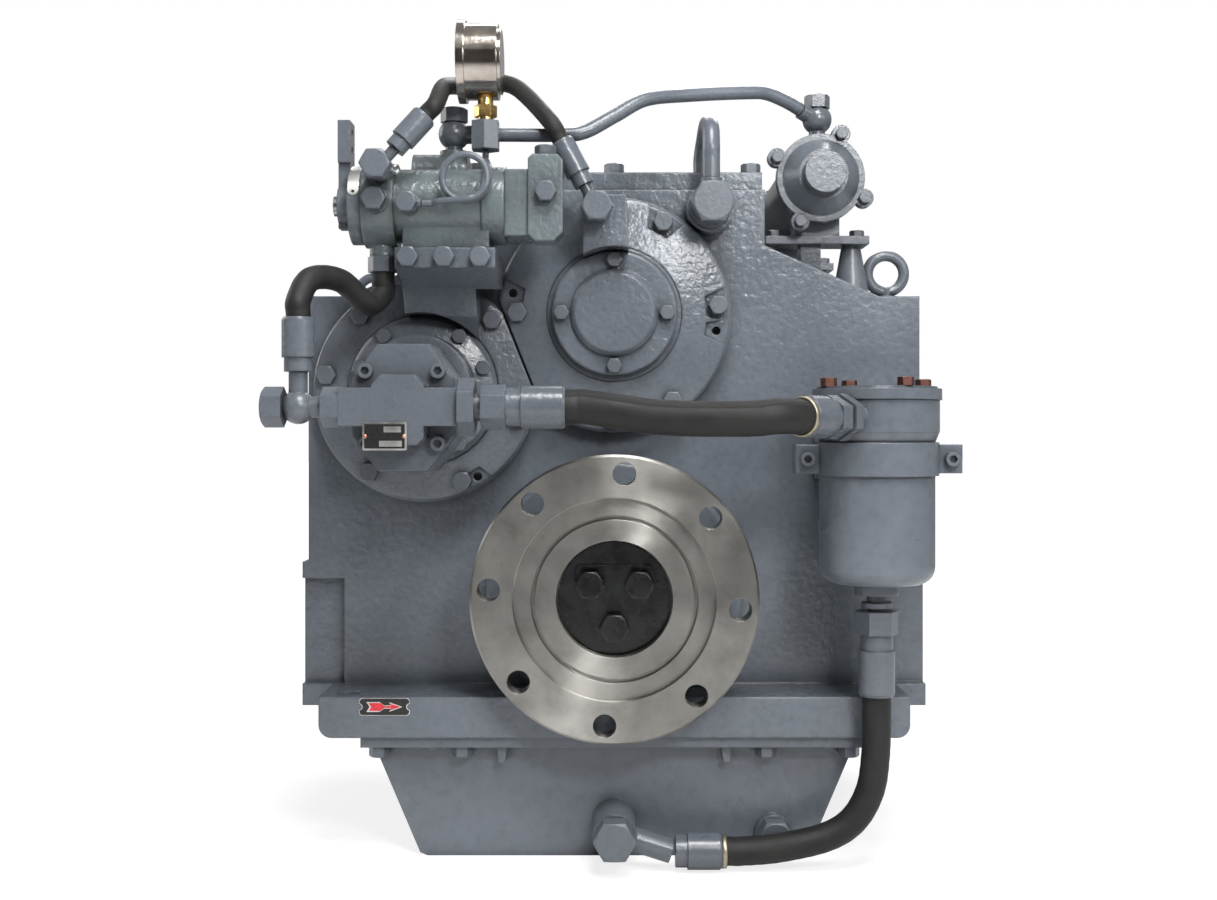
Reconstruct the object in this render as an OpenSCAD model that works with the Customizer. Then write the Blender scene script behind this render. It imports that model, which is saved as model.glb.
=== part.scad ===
// Marine reduction gearbox with ahead and astern clutches, seen from its output end.
// Frame: origin at the centre of the output flange face, +Y towards the engine, +Z up.

/* [Gear train] */
// Distance from the output shaft to the input shaft and to the reverse shaft
center_distance = 264; // [250:1:290]
// Sideways offset of the reverse shaft from the output shaft
reverse_offset = 182; // [170:1:192]
// Teeth on the ahead and astern pinions
pinion_teeth = 22; // [19:1:26]
// Teeth on the output gear
output_teeth = 66; // [60:1:78]
// Teeth on each clutch drum
drum_teeth = 49; // [41:2:61]
// Face width of the output gear and pinions
output_gear_w = 70; // [50:1:76]
// Face width of the drum gears
drum_gear_w = 45; // [30:1:50]
// Gap left between meshing flanks
backlash = 0.4; // [0.2:0.05:0.8]
// Free space round the drums inside the casing
gear_clearance = 4.4; // [3:0.1:8]
// Radius of the input and reverse shafts
shaft_r = 30; // [26:0.5:33]
// Radius of the output shaft
output_shaft_r = 45; // [40:0.5:48]

/* [Clutches] */
// Length of each drum shell beyond its gear rim
drum_shell_len = 106; // [95:1:112]
// Thickness of the drum shell
drum_shell_t = 10; // [6:0.5:12]
// Plates in each clutch
plate_count = 12; // [6:1:13]
// Thickness of each clutch plate
plate_t = 4; // [3:0.1:4.4]
// Free travel of each clutch piston
piston_travel = 4; // [2:0.5:6]

/* [Casing] */
// Distance from the output flange face to the rear face of the casing
flange_reach = 105; // [95:1:120]
// Length of the casing between its rear and front faces
casing_len = 330; // [320:1:400]
// Thickness of the side walls
wall = 10; // [8:0.5:14]
// Thickness of the rear wall
rear_wall = 22; // [18:1:28]
// Thickness of the deck under the top cover
deck_t = 18; // [14:1:24]
// Width of the raised middle of the casing
deck_w = 294; // [270:2:310]
// Height of the flat shoulders above the output shaft
shoulder_z = 284; // [274:1:296]
// Slope of the shoulders in degrees
shoulder_angle = 24; // [20:1:28]
// Drop from the output shaft to the top of the mounting ledge
ledge_drop = 94; // [88:1:110]
// Thickness of the mounting ledge
ledge_t = 38; // [30:1:46]
// Reach of the mounting ledge behind the casing
ledge_reach = 70; // [62:1:72]
// Set-back of each end of the ledge from the side of the casing
ledge_setback = 24; // [16:1:30]
// Radius of the four mounting holes in the ledge
ledge_hole_r = 11; // [8:0.5:13]
// Thickness of the bracket pads on the sides
pad_t = 6; // [3:0.5:10]
// Radius of the bracket bolt holes in the side pads
pad_hole_r = 8; // [6:0.5:10]
// Thickness of the front plate
front_t = 22; // [18:1:28]

/* [Sump] */
// Depth of the sump below the ledge
sump_depth = 116; // [105:1:150]
// Width of the sump at its top
sump_top_w = 454; // [430:2:480]
// Width of the sump at its bottom
sump_bottom_w = 372; // [340:2:400]
// Wall thickness of the sump
sump_wall = 6; // [4:0.5:8]
// Set-back of the sump from the rear edge of the ledge
sump_setback = 25; // [22:1:40]

/* [Bearing covers] */
// Thickness of the bearing cover flanges
cover_t = 24; // [18:1:30]
// Radius of the input shaft cover
input_cover_r = 113; // [110:1:118]
// Radius of the reverse shaft cover
reverse_cover_r = 107; // [105:0.5:112]
// Radius of the output shaft cover
output_cover_r = 124; // [118:1:128]
// Gap along the chord where the two covers meet
chord_gap = 1.6; // [0.6:0.2:3]
// Outer radius of the input and reverse shaft bearings
bearing_r = 60; // [54:0.5:63]
// Width of every shaft bearing
bearing_w = 28; // [22:1:29]
// Outer radius of the output shaft bearings
output_bearing_r = 88; // [78:1:90]
// Flange radius of the input end cap
end_cap_r = 59; // [57:0.5:64]
// Width across flats of the cover bolts
bolt_af = 17; // [15:1:19]

/* [Output flange] */
// Radius of the output flange
flange_r = 131; // [127:1:140]
// Thickness of the output flange
flange_t = 26; // [20:1:32]
// Radius of the bolt circle on the output flange
flange_bolt_r = 114; // [110:1:116]
// Radius of each flange bolt hole
flange_hole_r = 10.5; // [8:0.5:13]
// Number of flange bolt holes
flange_holes = 8; // [6:1:12]
// Turn of the flange bolt circle from vertical in degrees
flange_turn = 4.5; // [0:0.5:10]
// Radius of the spigot recess in the flange face
spigot_r = 92; // [84:1:97]
// Depth of the spigot recess
spigot_depth = 5; // [3:0.5:8]
// Radius of the flange hub
hub_r = 58; // [54:1:62]

/* [Oil pump] */
// Distance between the pump gear axes
pump_centers = 38; // [34:0.5:42]
// Teeth on each pump gear
pump_teeth = 12; // [11:1:14]
// Width of the pump gears
pump_gear_w = 40; // [30:1:46]
// Radius of the pump adapter flange
adapter_r = 71; // [66:1:76]
// Length of the pump adapter
adapter_len = 54; // [46:1:62]
// Width of the pump housing
pump_w = 88; // [82:1:96]
// Height of the pump housing
pump_h = 111; // [106:1:120]
// Depth of the pump housing
pump_d = 72; // [66:1:80]

/* [Control valve] */
// Height of the valve axis above the output shaft
valve_z = 356; // [352:1:366]
// Radius of the valve barrel
valve_r = 33; // [30:0.5:35]
// Radius of the rotary spool
spool_r = 14; // [11:0.5:17]
// Length of the selector lever above its pivot
lever_len = 76; // [66:1:110]
// Thickness of the selector lever
lever_t = 11; // [7:0.5:14]

/* [Gauge] */
// Radius of the gauge case
gauge_r = 34; // [28:0.5:36]
// Depth of the gauge case
gauge_d = 34; // [28:1:40]

/* [Filter and cooler] */
// Radius of the filter bowl
bowl_r = 52; // [46:0.5:54]
// Length of the filter bowl below its clamp
bowl_len = 98; // [80:1:104]
// Radius of the filter lid
filter_lid_r = 58; // [55:0.5:62]
// Radius of the cooler shell
cooler_r = 36; // [30:0.5:40]
// Length of the cooler shell
cooler_len = 282; // [240:2:300]

/* [Hoses] */
// Radius of the suction hose between filter and pump
suction_r = 15; // [12:0.5:16]
// Radius of the hose between sump and filter
sump_hose_r = 13; // [10:0.5:14]
// Radius of the pressure hose
pressure_r = 10.5; // [8:0.5:11.5]
// Radius of the lubrication hose
lube_r = 8; // [6:0.5:9]
// Radius of the steel cooler pipe
pipe_r = 6.5; // [5:0.5:8]
// Radius of the return pipe
return_r = 8.5; // [6:0.5:9]
// Radius of the gauge tube
gauge_tube_r = 3; // [2:0.25:3.5]

/* [Hidden] */
$fn = 48;
// Radial clearances: turning parts, seated parts and bolts in their holes
run_gap = 0.06;
seat_gap = 0.05;
bolt_gap = 0.3;
addendum = 0.9;
// Shaft axes in the XZ plane and the sizes that follow from them
output_c = [0, 0];
input_c = [0, center_distance];
reverse_c = [-reverse_offset, sqrt(center_distance * center_distance - reverse_offset * reverse_offset)];
shaft_gap = norm(input_c - reverse_c);
gear_m = 2 * center_distance / (pinion_teeth + output_teeth);
drum_m = shaft_gap / drum_teeth;
drum_tip = shaft_gap / 2 + addendum * drum_m;
drum_root = shaft_gap / 2 - 1.2 * drum_m;
half_w = reverse_offset + drum_tip + gear_clearance + wall;
deck_z = center_distance + drum_tip + gear_clearance + deck_t;
slope_r = drum_tip + gear_clearance + wall;
// Stations along Y
rear_y = flange_reach;
front_y = rear_y + casing_len;
cover_y = rear_y - cover_t;
inner_y = rear_y + rear_wall;
drum_y = inner_y + 18;
shell_y = drum_y + drum_gear_w;
shell_end = shell_y + drum_shell_len;
gear_y = front_y - output_gear_w - 35;
pocket_y = front_y + 5 - bearing_w;
ledge_z = -ledge_drop;
ledge_low = ledge_z - ledge_t;
ledge_y = rear_y - ledge_reach;
ledge_half = half_w - ledge_setback;
sump_y = ledge_y + sump_setback;
sump_end = front_y - 6;
sump_z = ledge_low - sump_depth;
top_cover_t = 18;
// Pump stations
adapter_y = cover_y - adapter_len;
pump_y = adapter_y - pump_d;
pump_plate_t = 16;
port_depth = 30;
port_y = pump_y - pump_plate_t - port_depth / 2;
pump_c = reverse_c - [0, pump_centers / 2];
port_half = 50;
port_z = pump_c[1];
pump_m = pump_centers / pump_teeth;
pump_tip = pump_centers / 2 + addendum * pump_m;
pump_shaft_r = 11;
// Valve stations
valve_y = 10;
valve_x0 = reverse_c[0] - 43;
valve_x1 = reverse_c[0] + 84;
pad_z = valve_z - valve_r - 8;
hump = [valve_x0 + 39, valve_y + 32, valve_z + 32];
lever_x1 = valve_x0 - 13;
lever_x0 = lever_x1 - lever_t;
// Gauge and filter centres
gauge_c = [valve_x1 - 24, valve_y, valve_z + 131];
filter_c = [half_w - 60, 10];
clamp_z0 = 112;
clamp_z1 = 142;
head_z1 = 180;
lid_z1 = head_z1 + 12;
bowl_z = clamp_z0 - bowl_len;
cooler_c = [deck_w / 2 + 55, center_distance + 136];
cooler_y = rear_y + 13;
eye_r = 18.5;
eye_bar = 5.5;

// Shapes that repeat
module on(c) { translate([c[0], 0, c[1]]) children(); }
module rod_y(r, y0, y1) { translate([0, y0, 0]) rotate([-90, 0, 0]) cylinder(r = r, h = y1 - y0); }
module rod_x(r, x0, x1) { translate([x0, 0, 0]) rotate([0, 90, 0]) cylinder(r = r, h = x1 - x0); }
module rod_z(r, z0, z1) { translate([0, 0, z0]) cylinder(r = r, h = z1 - z0); }
// Disc with its aft edge broken by a chamfer, and its forward edge by another
module disc_y(r, y0, y1, aft, fore = 0.01) {
    t = y1 - y0;
    translate([0, y0, 0]) rotate([-90, 0, 0]) rotate_extrude()
        polygon([[0, 0], [r - aft, 0], [r, aft], [r, t - fore], [r - fore, t], [0, t]]);
}
module ring_y(ro, ri, y0, y1) {
    difference() {
        rod_y(ro, y0, y1);
        rod_y(ri, y0 - 1, y1 + 1);
    }
}
module slab_y(y0, y1) { translate([0, y1, 0]) rotate([90, 0, 0]) linear_extrude(y1 - y0) children(); }
module box(a, b) { translate(a) cube(b - a); }
// Points local +Z along a direction
module aim(p, d) {
    translate(p)
        rotate([0, acos(d[2] / norm(d)), atan2(d[1], d[0])])
            children();
}
// Hexagon head with a chamfered top, seated at z = 0, with its shank below
module hex_bolt(af, len) {
    intersection() {
        cylinder(r = af / sqrt(3), h = 0.6 * af, $fn = 6);
        cylinder(r1 = 1.51 * af, r2 = 0.47 * af, h = 0.6 * af);
    }
    translate([0, 0, -len]) cylinder(r = 0.29 * af, h = len + 0.1);
}
module hex_nut(af, h) { cylinder(r = af / sqrt(3), h = h, $fn = 6); }
module aft_bolt(x, y, z, af, len) { translate([x, y, z]) rotate([90, 0, 0]) hex_bolt(af, len); }
module socket_bolt(r, len) {
    difference() {
        cylinder(r = r, h = 1.25 * r);
        translate([0, 0, 0.6 * r]) cylinder(r = 0.58 * r, h = r, $fn = 6);
    }
    translate([0, 0, -len]) cylinder(r = 0.6 * r, h = len + 0.1);
}
// Spur gear outline: three points on each involute flank
function inv_angle(rb, r) = let (a = acos(min(1, rb / r))) tan(a) * 180 / PI - a;
function flank(m, z, pa, r) =
    let (rp = m * z / 2, rb = rp * cos(pa), half = 90 / z - backlash / (4 * rp) * 180 / PI)
    half + inv_angle(rb, rp) - inv_angle(rb, max(r, rb));
function polar(r, a) = [r * cos(a), r * sin(a)];
function gear_points(m, z, pa, turn) =
    let (rp = m * z / 2, tip = rp + addendum * m, root = rp - 1.2 * m,
        mid = [root, rp - 0.4 * m, rp + 0.3 * m, tip])
    [for (i = [0 : z - 1], s = [-1, 1], k = [0 : 3])
        let (r = mid[s < 0 ? k : 3 - k]) polar(r, turn + i * 360 / z + s * flank(m, z, pa, r))];
module spur(m, z, turn, y0, y1, pa = 20) { slab_y(y0, y1) polygon(gear_points(m, z, pa, turn)); }
// Turn that puts a gap where the mating gear has a tooth
function mesh_turn(dir, mate_turn, mate_z, z) =
    let (step = 360 / mate_z, off = mate_turn + round((dir - mate_turn) / step) * step - dir)
    dir + 180 - off * mate_z / z + 180 / z;
function heading(a, b) = atan2(b[1] - a[1], b[0] - a[0]);
// Round tube swept along a smooth curve through hand-placed points
function blend(p, i, t) =
    let (n = len(p) - 1, a = p[max(i - 1, 0)], b = p[i], c = p[min(i + 1, n)], d = p[min(i + 2, n)])
    0.5 * (2 * b + (c - a) * t + (2 * a - 5 * b + 4 * c - d) * t * t + (3 * b - a - 3 * c + d) * t * t * t);
function route(p, steps) =
    concat([for (i = [0 : len(p) - 2], k = [0 : steps - 1]) blend(p, i, k / steps)], [p[len(p) - 1]]);
function unit(v) = v / norm(v);
function tangents(q) =
    [for (i = [0 : len(q) - 1]) unit(q[min(i + 1, len(q) - 1)] - q[max(i - 1, 0)])];
function first_normal(t) = unit(cross(t, abs(t[2]) < 0.8 ? [0, 0, 1] : [0, 1, 0]));
function normals(t) =
    [for (i = 0, n = first_normal(t[0]); i < len(t); i = i + 1, n = i < len(t)
        ? unit(n - (n * t[i]) * t[i]) : n) n];
module tube(q, r, sides = 16) {
    t = tangents(q);
    n = normals(t);
    rings = len(q);
    points = [for (i = [0 : rings - 1], k = [0 : sides - 1])
        let (a = 360 * k / sides) q[i] + r * (cos(a) * n[i] + sin(a) * cross(t[i], n[i]))];
    sides_faces = [for (i = [0 : rings - 2], k = [0 : sides - 1])
        let (a = i * sides + k, b = i * sides + (k + 1) % sides)
        each [[a, a + sides, b], [b, a + sides, b + sides]]];
    caps = [[for (k = [0 : sides - 1]) k], [for (k = [sides - 1 : -1 : 0]) (rings - 1) * sides + k]];
    polyhedron(points, concat(sides_faces, caps));
}
// Casing outline, drawn inwards by an offset
function slope_x(z, o) = reverse_offset + (slope_r - o - (z - reverse_c[1]) * cos(shoulder_angle))
    / sin(shoulder_angle);
function slope_z(x, o) = reverse_c[1] + (slope_r - o - (x - reverse_offset) * sin(shoulder_angle))
    / cos(shoulder_angle);
function right_side(o, low, top) = [
    [half_w - o, low],
    [half_w - o, shoulder_z - o],
    [min(slope_x(shoulder_z - o, o), half_w - o - 0.5), shoulder_z - o],
    [deck_w / 2 - o, slope_z(deck_w / 2 - o, o)],
    [deck_w / 2 - o, top]];
function mirrored(p) = concat(p, [for (i = [len(p) - 1 : -1 : 0]) [-p[i][0], p[i][1]]]);
module outline(o, low, top) { polygon(mirrored(right_side(o, low, top))); }
// Bolt places
input_bolts = concat([for (a = [5, 62, 236, 270, 304]) input_c + polar(input_cover_r - 13, a)],
    [input_c + polar(input_cover_r - 20, 179)]);
reverse_bolts = [for (a = [46, -16, -67, 236, 171, 130]) reverse_c + polar(reverse_cover_r - 13, a)];
output_bolts = [for (i = [0 : 5]) polar((output_cover_r + output_bearing_r + 12) / 2, -22.5 + 45 * i)];
cap_bolts = [for (i = [0 : 3]) input_c + polar(end_cap_r - 9, 90 * i)];
adapter_bolts = [for (a = [20, 55, 125, 160, 235, 305]) reverse_c + polar(adapter_r - 9, a)];
pump_screws = [for (x = [-1, 1], z = [-1, 1]) pump_c + [x * 31, z * 31]];
deck_bolts = [for (x = [-1, 0, 1], y = [18, casing_len - 18]) [x * (deck_w / 2 - 12), rear_y + y]];
front_bolts = concat(
    [for (s = [-1, 1], z = [-70, 30, 130, 230]) [s * (half_w - wall / 2 - 2), z]],
    [for (x = [-1, 0, 1]) [x * (deck_w / 2 - 14), deck_z - 9]]);
sump_lip = ledge_half - 38;
front_cap_y = front_y + front_t + 8;
front_cap_bolts = concat(
    [for (i = [0 : 5]) reverse_c + polar(bearing_r + 1, 60 * i + 30)],
    [for (i = [0 : 7]) output_c + polar(output_bearing_r + 1, 45 * i + 22.5)]);
front_ribs = [[input_c, output_c], [output_c, [half_w - 50, 190]],
    [reverse_c, output_c], [input_c, [half_w - 60, 240]]];
sump_bolt_x = [-sump_lip + 16, -142, 142, sump_lip - 16];
lid_bolts = [for (i = [0 : 3]) polar(filter_lid_r - 9, 20 + 90 * i)];
clamp_ear = bowl_r + 13;
// Casing and covers
corner_r = 12;
ledge_side = concat([for (a = [-90 : 15 : 0]) [ledge_half - corner_r, ledge_low + corner_r] + polar(corner_r, a)],
    [[ledge_half, ledge_z]]);
skirt = 21;
pad_holes = [for (y = [rear_y + 60, front_y - 60], z = [ledge_z + 12, 0]) [y, z]];
return_boss = [92, deck_z - 22];
ledge_holes = [for (s = [-1, 1]) [s * (ledge_half - 24), ledge_y + 22]];
housing_r = bearing_r + 24;
output_housing_r = output_bearing_r + 12;
cover_bore = 42;
cast_edge = 4;
module casing() color("SlateGray") difference() {
    union() {
        slab_y(rear_y, front_y) outline(0, ledge_z - skirt, deck_z);
        slab_y(ledge_y, front_y) polygon(mirrored(ledge_side));
        for (s = [-1, 1])
            box([min(s * half_w, s * (half_w + pad_t)), rear_y, ledge_z - skirt],
                [max(s * half_w, s * (half_w + pad_t)), front_y, 25]);
        on(return_boss) rod_y(23, rear_y - 26, rear_y + 1);
    }
    difference() {
        union() {
            slab_y(inner_y, front_y + 1) outline(wall, ledge_z, deck_z - deck_t);
            box([-sump_top_w / 2 + 24, inner_y, ledge_low - 1], [sump_top_w / 2 - 24, front_y - 24, ledge_z + 1]);
        }
        for (s = [-1, 1], h = pad_holes)
            translate([0, h[0], h[1]]) rod_x(18, s > 0 ? half_w - 28 : -half_w, s > 0 ? half_w : -half_w + 28);
    }
    box([-deck_w / 2 + 34, inner_y + 24, deck_z - deck_t - 1], [deck_w / 2 - 34, front_y - 50, deck_z + 1]);
    for (c = [input_c, reverse_c]) on(c) rod_y(housing_r, rear_y - 1, inner_y + 1);
    rod_y(output_housing_r, rear_y - 1, inner_y + 1);
    on(return_boss) rod_y(8, rear_y - 27, rear_y + 4);
    rod_y(output_bearing_r + 13, pocket_y - 2, front_y + 1);
    for (h = ledge_holes) translate([h[0], h[1], 0]) rod_z(ledge_hole_r, ledge_low - 1, ledge_z + 1);
    for (s = [-1, 1]) {
        box([min(s * (half_w - 35), s * (half_w + pad_t + 1)), rear_y - 1, ledge_z],
            [max(s * (half_w - 35), s * (half_w + pad_t + 1)), rear_y + 12, 9]);
        for (h = pad_holes) translate([0, h[0], h[1]])
            rod_x(pad_hole_r, s > 0 ? half_w - 20 : -half_w - pad_t - 1,
                s > 0 ? half_w + pad_t + 1 : -half_w + 20);
    }
}
module front_plate() color("SlateGray") difference() {
    union() {
        slab_y(front_y, front_y + front_t) outline(0, ledge_z - skirt, deck_z);
        for (c = [input_c, reverse_c]) on(c) disc_y(bearing_r + 11, pocket_y, front_cap_y, 0.01, 3);
        disc_y(output_bearing_r + 11, pocket_y, front_cap_y, 0.01, 3);
        on(reverse_c) disc_y(bearing_r - 16, front_cap_y - 1, front_cap_y + 5, 0.01, 3);
        disc_y(output_bearing_r - 18, front_cap_y - 1, front_cap_y + 5, 0.01, 3);
        for (r = front_ribs) slab_y(front_y + front_t - 1, front_cap_y - 3) hull() {
            translate(r[0]) circle(5);
            translate(r[1]) circle(5);
        }
    }
    for (c = [input_c, reverse_c]) on(c) rod_y(bearing_r + seat_gap, pocket_y - 1, pocket_y + bearing_w);
    rod_y(output_bearing_r + seat_gap, pocket_y - 1, pocket_y + bearing_w);
    on(input_c) rod_y(shaft_r + 2, pocket_y, front_y + front_t + 9);
    on(input_c) rod_y(shaft_r + 14, front_y + front_t - 4, front_y + front_t + 9);
    for (b = front_bolts) on(b) rod_y(0.29 * bolt_af + bolt_gap, front_y - 1, front_y + front_t + 1);
}
sump_side = [
    [sump_bottom_w / 2 - 10, sump_z],
    [sump_bottom_w / 2 - 3, sump_z + 3],
    [sump_bottom_w / 2, sump_z + 10],
    [sump_top_w / 2, ledge_low - 10]];
sump_cavity = [
    [sump_bottom_w / 2 - 10 - sump_wall / 2, sump_z + sump_wall],
    [sump_top_w / 2 - sump_wall, ledge_low + 1]];
sump_port = [0, sump_z + 34];
drain_c = [150, sump_z + 22];
module oil_sump() color("SlateGray") difference() {
    union() {
        slab_y(sump_y, sump_end) polygon(mirrored(sump_side));
        box([-sump_lip, sump_y - 20, ledge_low - 10], [sump_lip, sump_end, ledge_low]);
        for (x = [-105, 105])
            slab_y(sump_y - 12, sump_y + 1)
                polygon([[x - 5, ledge_low - 9], [x + 5, ledge_low - 9], [x + 3, ledge_low - 26], [x - 3, ledge_low - 26]]);
        on(sump_port) rod_y(20, 28, sump_y + 1);
        on(drain_c) rod_y(18, sump_y - 8, sump_y + 1);
    }
    slab_y(sump_y + sump_wall, sump_end - sump_wall) polygon(mirrored(sump_cavity));
    on(sump_port) rod_y(9, 27, sump_y + sump_wall + 1);
    on(drain_c) rod_y(10 + bolt_gap, sump_y - 9, sump_y + sump_wall + 1);
    for (x = sump_bolt_x) translate([x, sump_y - 9, 0])
        rod_z(0.29 * bolt_af + bolt_gap, ledge_low - 11, ledge_low + 1);
}
module top_cover() color("SlateGray") difference() {
    box([-deck_w / 2 + 2, rear_y + 6, deck_z], [deck_w / 2 - 2, front_y - 2, deck_z + top_cover_t]);
    box([-deck_w / 2 + 34, rear_y + 50, deck_z - 1], [deck_w / 2 - 34, front_y - 50, deck_z + 6]);
    for (b = deck_bolts) translate([b[0], b[1], 0])
        rod_z(0.29 * bolt_af + bolt_gap, deck_z - 1, deck_z + top_cover_t + 1);
    translate([88, rear_y + 34, 0]) rod_z(return_r + 1, deck_z + 6, deck_z + top_cover_t + 1);
}
// Half plane on one side of the joint between the two covers
module chord_cut(c, mate) {
    on(c) rotate([0, -heading(c, mate), 0])
        box([shaft_gap / 2 - chord_gap / 2, cover_y - 9, -300], [shaft_gap, rear_y + 0.01, 300]);
}
lube_boss = [-16, deck_z - 31];
module input_cover() color("LightSlateGray") difference() {
    union() {
        difference() {
            union() {
                on(input_c) disc_y(input_cover_r, cover_y, rear_y, cast_edge);
                on(input_c) disc_y(end_cap_r + 6, cover_y - 8, rear_y, cast_edge / 2);
            }
            chord_cut(input_c, reverse_c);
        }
        on(input_c) rod_y(housing_r - seat_gap, rear_y - 1, inner_y);
        slab_y(32, rear_y) polygon([for (p = [[-13, -44], [30, -44], [27, 14], [-13, 14]]) lube_boss + p]);
    }
    on(input_c) rod_y(cover_bore, cover_y - 9, inner_y + 1);
    on(input_c) rod_y(bearing_r + seat_gap, inner_y - bearing_w, inner_y + 1);
    for (b = input_bolts) on(b) rod_y(0.29 * bolt_af + bolt_gap, cover_y - 1, rear_y - 0.5);
    on(input_c) rod_y(end_cap_r + 0.5, 20, cover_y - 8);
    on(lube_boss) rod_y(6, 31, 60);
    for (a = [168, -9]) on(input_c + polar(input_cover_r - 14, a)) rod_y(4, cover_y - 1, cover_y + 12);
}
bracket_x0 = valve_x0 + 30;
bracket_x1 = valve_x1 - 8;
column_x0 = bracket_x0;
column_x1 = bracket_x1 - 22;
module reverse_cover() color("LightSlateGray") difference() {
    union() {
        difference() {
            union() {
                on(reverse_c) disc_y(reverse_cover_r, cover_y, rear_y, cast_edge);
                translate([bracket_x0, 0, 0]) rotate([90, 0, 90]) linear_extrude(bracket_x1 - bracket_x0)
                    polygon([[rear_y, pad_z - 24], [rear_y, pad_z], [valve_y - 30, pad_z],
                        [valve_y - 30, pad_z - 18],
                        [valve_y + 20, pad_z - 32]]);
                translate([column_x0, 0, 0]) rotate([90, 0, 90]) linear_extrude(column_x1 - column_x0)
                    polygon([[rear_y, pad_z - 70], [rear_y, pad_z - 10], [valve_y - 6, pad_z - 10],
                        [valve_y + 22, pad_z - 36],
                        [valve_y + 34, pad_z - 56], [cover_y + 1, pad_z - 84]]);
            }
            chord_cut(reverse_c, input_c);
            on(reverse_c) rod_y(adapter_r + 0.6, cover_y - 80, cover_y);
        }
        on(reverse_c) rod_y(housing_r - seat_gap, rear_y - 1, inner_y);
    }
    on(reverse_c) rod_y(cover_bore, cover_y - 1, inner_y + 1);
    on(reverse_c) rod_y(bearing_r + seat_gap, inner_y - bearing_w, inner_y + 1);
    for (b = reverse_bolts) on(b) rod_y(0.29 * bolt_af + bolt_gap, cover_y - 1, rear_y - 0.5);
    for (a = [122, 302]) on(reverse_c + polar(reverse_cover_r - 10, a)) rod_y(4, cover_y - 1, cover_y + 12);
}
module output_cover() color("LightSlateGray") difference() {
    union() {
        disc_y(output_cover_r, rear_y - 18, rear_y, cast_edge);
        rod_y(output_housing_r - seat_gap, rear_y - 1, inner_y);
    }
    box([-output_cover_r, rear_y - 19, -output_cover_r - 1], [output_cover_r, rear_y + 0.05, ledge_z + 0.3]);
    rod_y(hub_r + 3, rear_y - 19, inner_y + 1);
    rod_y(hub_r + 14, rear_y - 19, rear_y - 6);
    rod_y(output_bearing_r + seat_gap, inner_y - bearing_w, inner_y + 1);
    for (b = output_bolts) on(b) rod_y(0.29 * 13 + bolt_gap, rear_y - 19, rear_y - 0.5);
}
module input_end_cap() color("LightSlateGray") on(input_c) difference() {
    union() {
        disc_y(end_cap_r, cover_y - 20, cover_y - 8, 1.5);
        disc_y(end_cap_r - 18, cover_y - 27, cover_y - 19, cast_edge);
        rod_y(cover_bore - seat_gap, cover_y - 8, cover_y + 6);
    }
    for (b = cap_bolts) on(b - input_c) rod_y(0.29 * 13 + bolt_gap, cover_y - 21, cover_y - 7);
}
module hex_bolts() color("Gray") {
    for (b = concat(input_bolts, reverse_bolts)) aft_bolt(b[0], cover_y, b[1], bolt_af, cover_t - 1);
    for (b = output_bolts) aft_bolt(b[0], rear_y - 18, b[1], 13, 17);
    for (b = cap_bolts) aft_bolt(b[0], cover_y - 20, b[1], 13, 11);
    for (b = adapter_bolts) aft_bolt(b[0], cover_y - 14, b[1], 13, 13);
    for (b = deck_bolts) translate([b[0], b[1], deck_z + top_cover_t]) hex_bolt(bolt_af, top_cover_t - 1);
    for (b = front_bolts) translate([b[0], front_y + front_t, b[1]]) rotate([-90, 0, 0])
        hex_bolt(bolt_af, front_t - 1);
    for (x = sump_bolt_x) translate([x, sump_y - 9, ledge_low - 10]) rotate([180, 0, 0]) hex_bolt(bolt_af, 9);
    for (b = front_cap_bolts) translate([b[0], front_cap_y, b[1]]) rotate([-90, 0, 0]) hex_bolt(13, 0);
    for (y = [cooler_y + 28, cooler_end - 34], x = [deck_w / 2 + 14, cooler_c[0] + 42])
        translate([x, y, saddle_z]) hex_bolt(13, 0);
    cooler_cap_bolts();
}
// Shafts, gears and clutches
module bearing(c, ri, ro, y) {
    third = (ro - ri) / 3;
    mid = (ri + ro) / 2;
    on(c) {
        ring_y(ro, ro - third + 0.3, y, y + bearing_w);
        ring_y(ri + third - 0.3, ri, y, y + bearing_w);
        for (i = [0 : 11]) on(polar(mid, 30 * i)) rod_y(third / 2, y + 3, y + bearing_w - 3);
    }
}
output_seat_r = output_shaft_r + 5;
module shaft_bearings() color("Silver") {
    for (c = [input_c, reverse_c], y = [inner_y - bearing_w, pocket_y])
        bearing(c, shaft_r + run_gap, bearing_r, y);
    for (y = [inner_y - bearing_w, pocket_y]) bearing(output_c, output_seat_r + run_gap, output_bearing_r, y);
}
module shaft_seals() color("DimGray") {
    ring_y(hub_r + 14 - seat_gap, hub_r + run_gap, rear_y - 17, rear_y - 6);
    on(input_c) ring_y(shaft_r + 14 - seat_gap, shaft_r + run_gap, front_y + front_t - 4, front_y + front_t + 7);
}
coupling_r = 95;
coupling_y = front_y + front_t + 14;
coupling_end = coupling_y + 78;
module input_shaft() color("Silver") on(input_c) {
    rod_y(shaft_r, inner_y - bearing_w + 2, coupling_end - 8);
    ring_y(shaft_r + 7, shaft_r - 1, inner_y + 1, drum_y);
}
module input_coupling() color("DimGray") on(input_c) difference() {
    union() {
        rod_y(shaft_r + 19, coupling_y, coupling_end);
        disc_y(coupling_r, coupling_end - 22, coupling_end, 2, 2);
    }
    rod_y(shaft_r + seat_gap, coupling_y - 1, coupling_end + 1);
    for (i = [0 : 5]) on(polar(76, 60 * i)) rod_y(7, coupling_end - 23, coupling_end + 1);
}
shell_r = drum_root - 2;
shell_in = shell_r - drum_shell_t;
sleeve_r = shaft_r + 6;
piston_y = shell_y + 1;
plates_y = piston_y + 14 + piston_travel + 2;
pinion_hub_r = shaft_r + 16;
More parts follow.
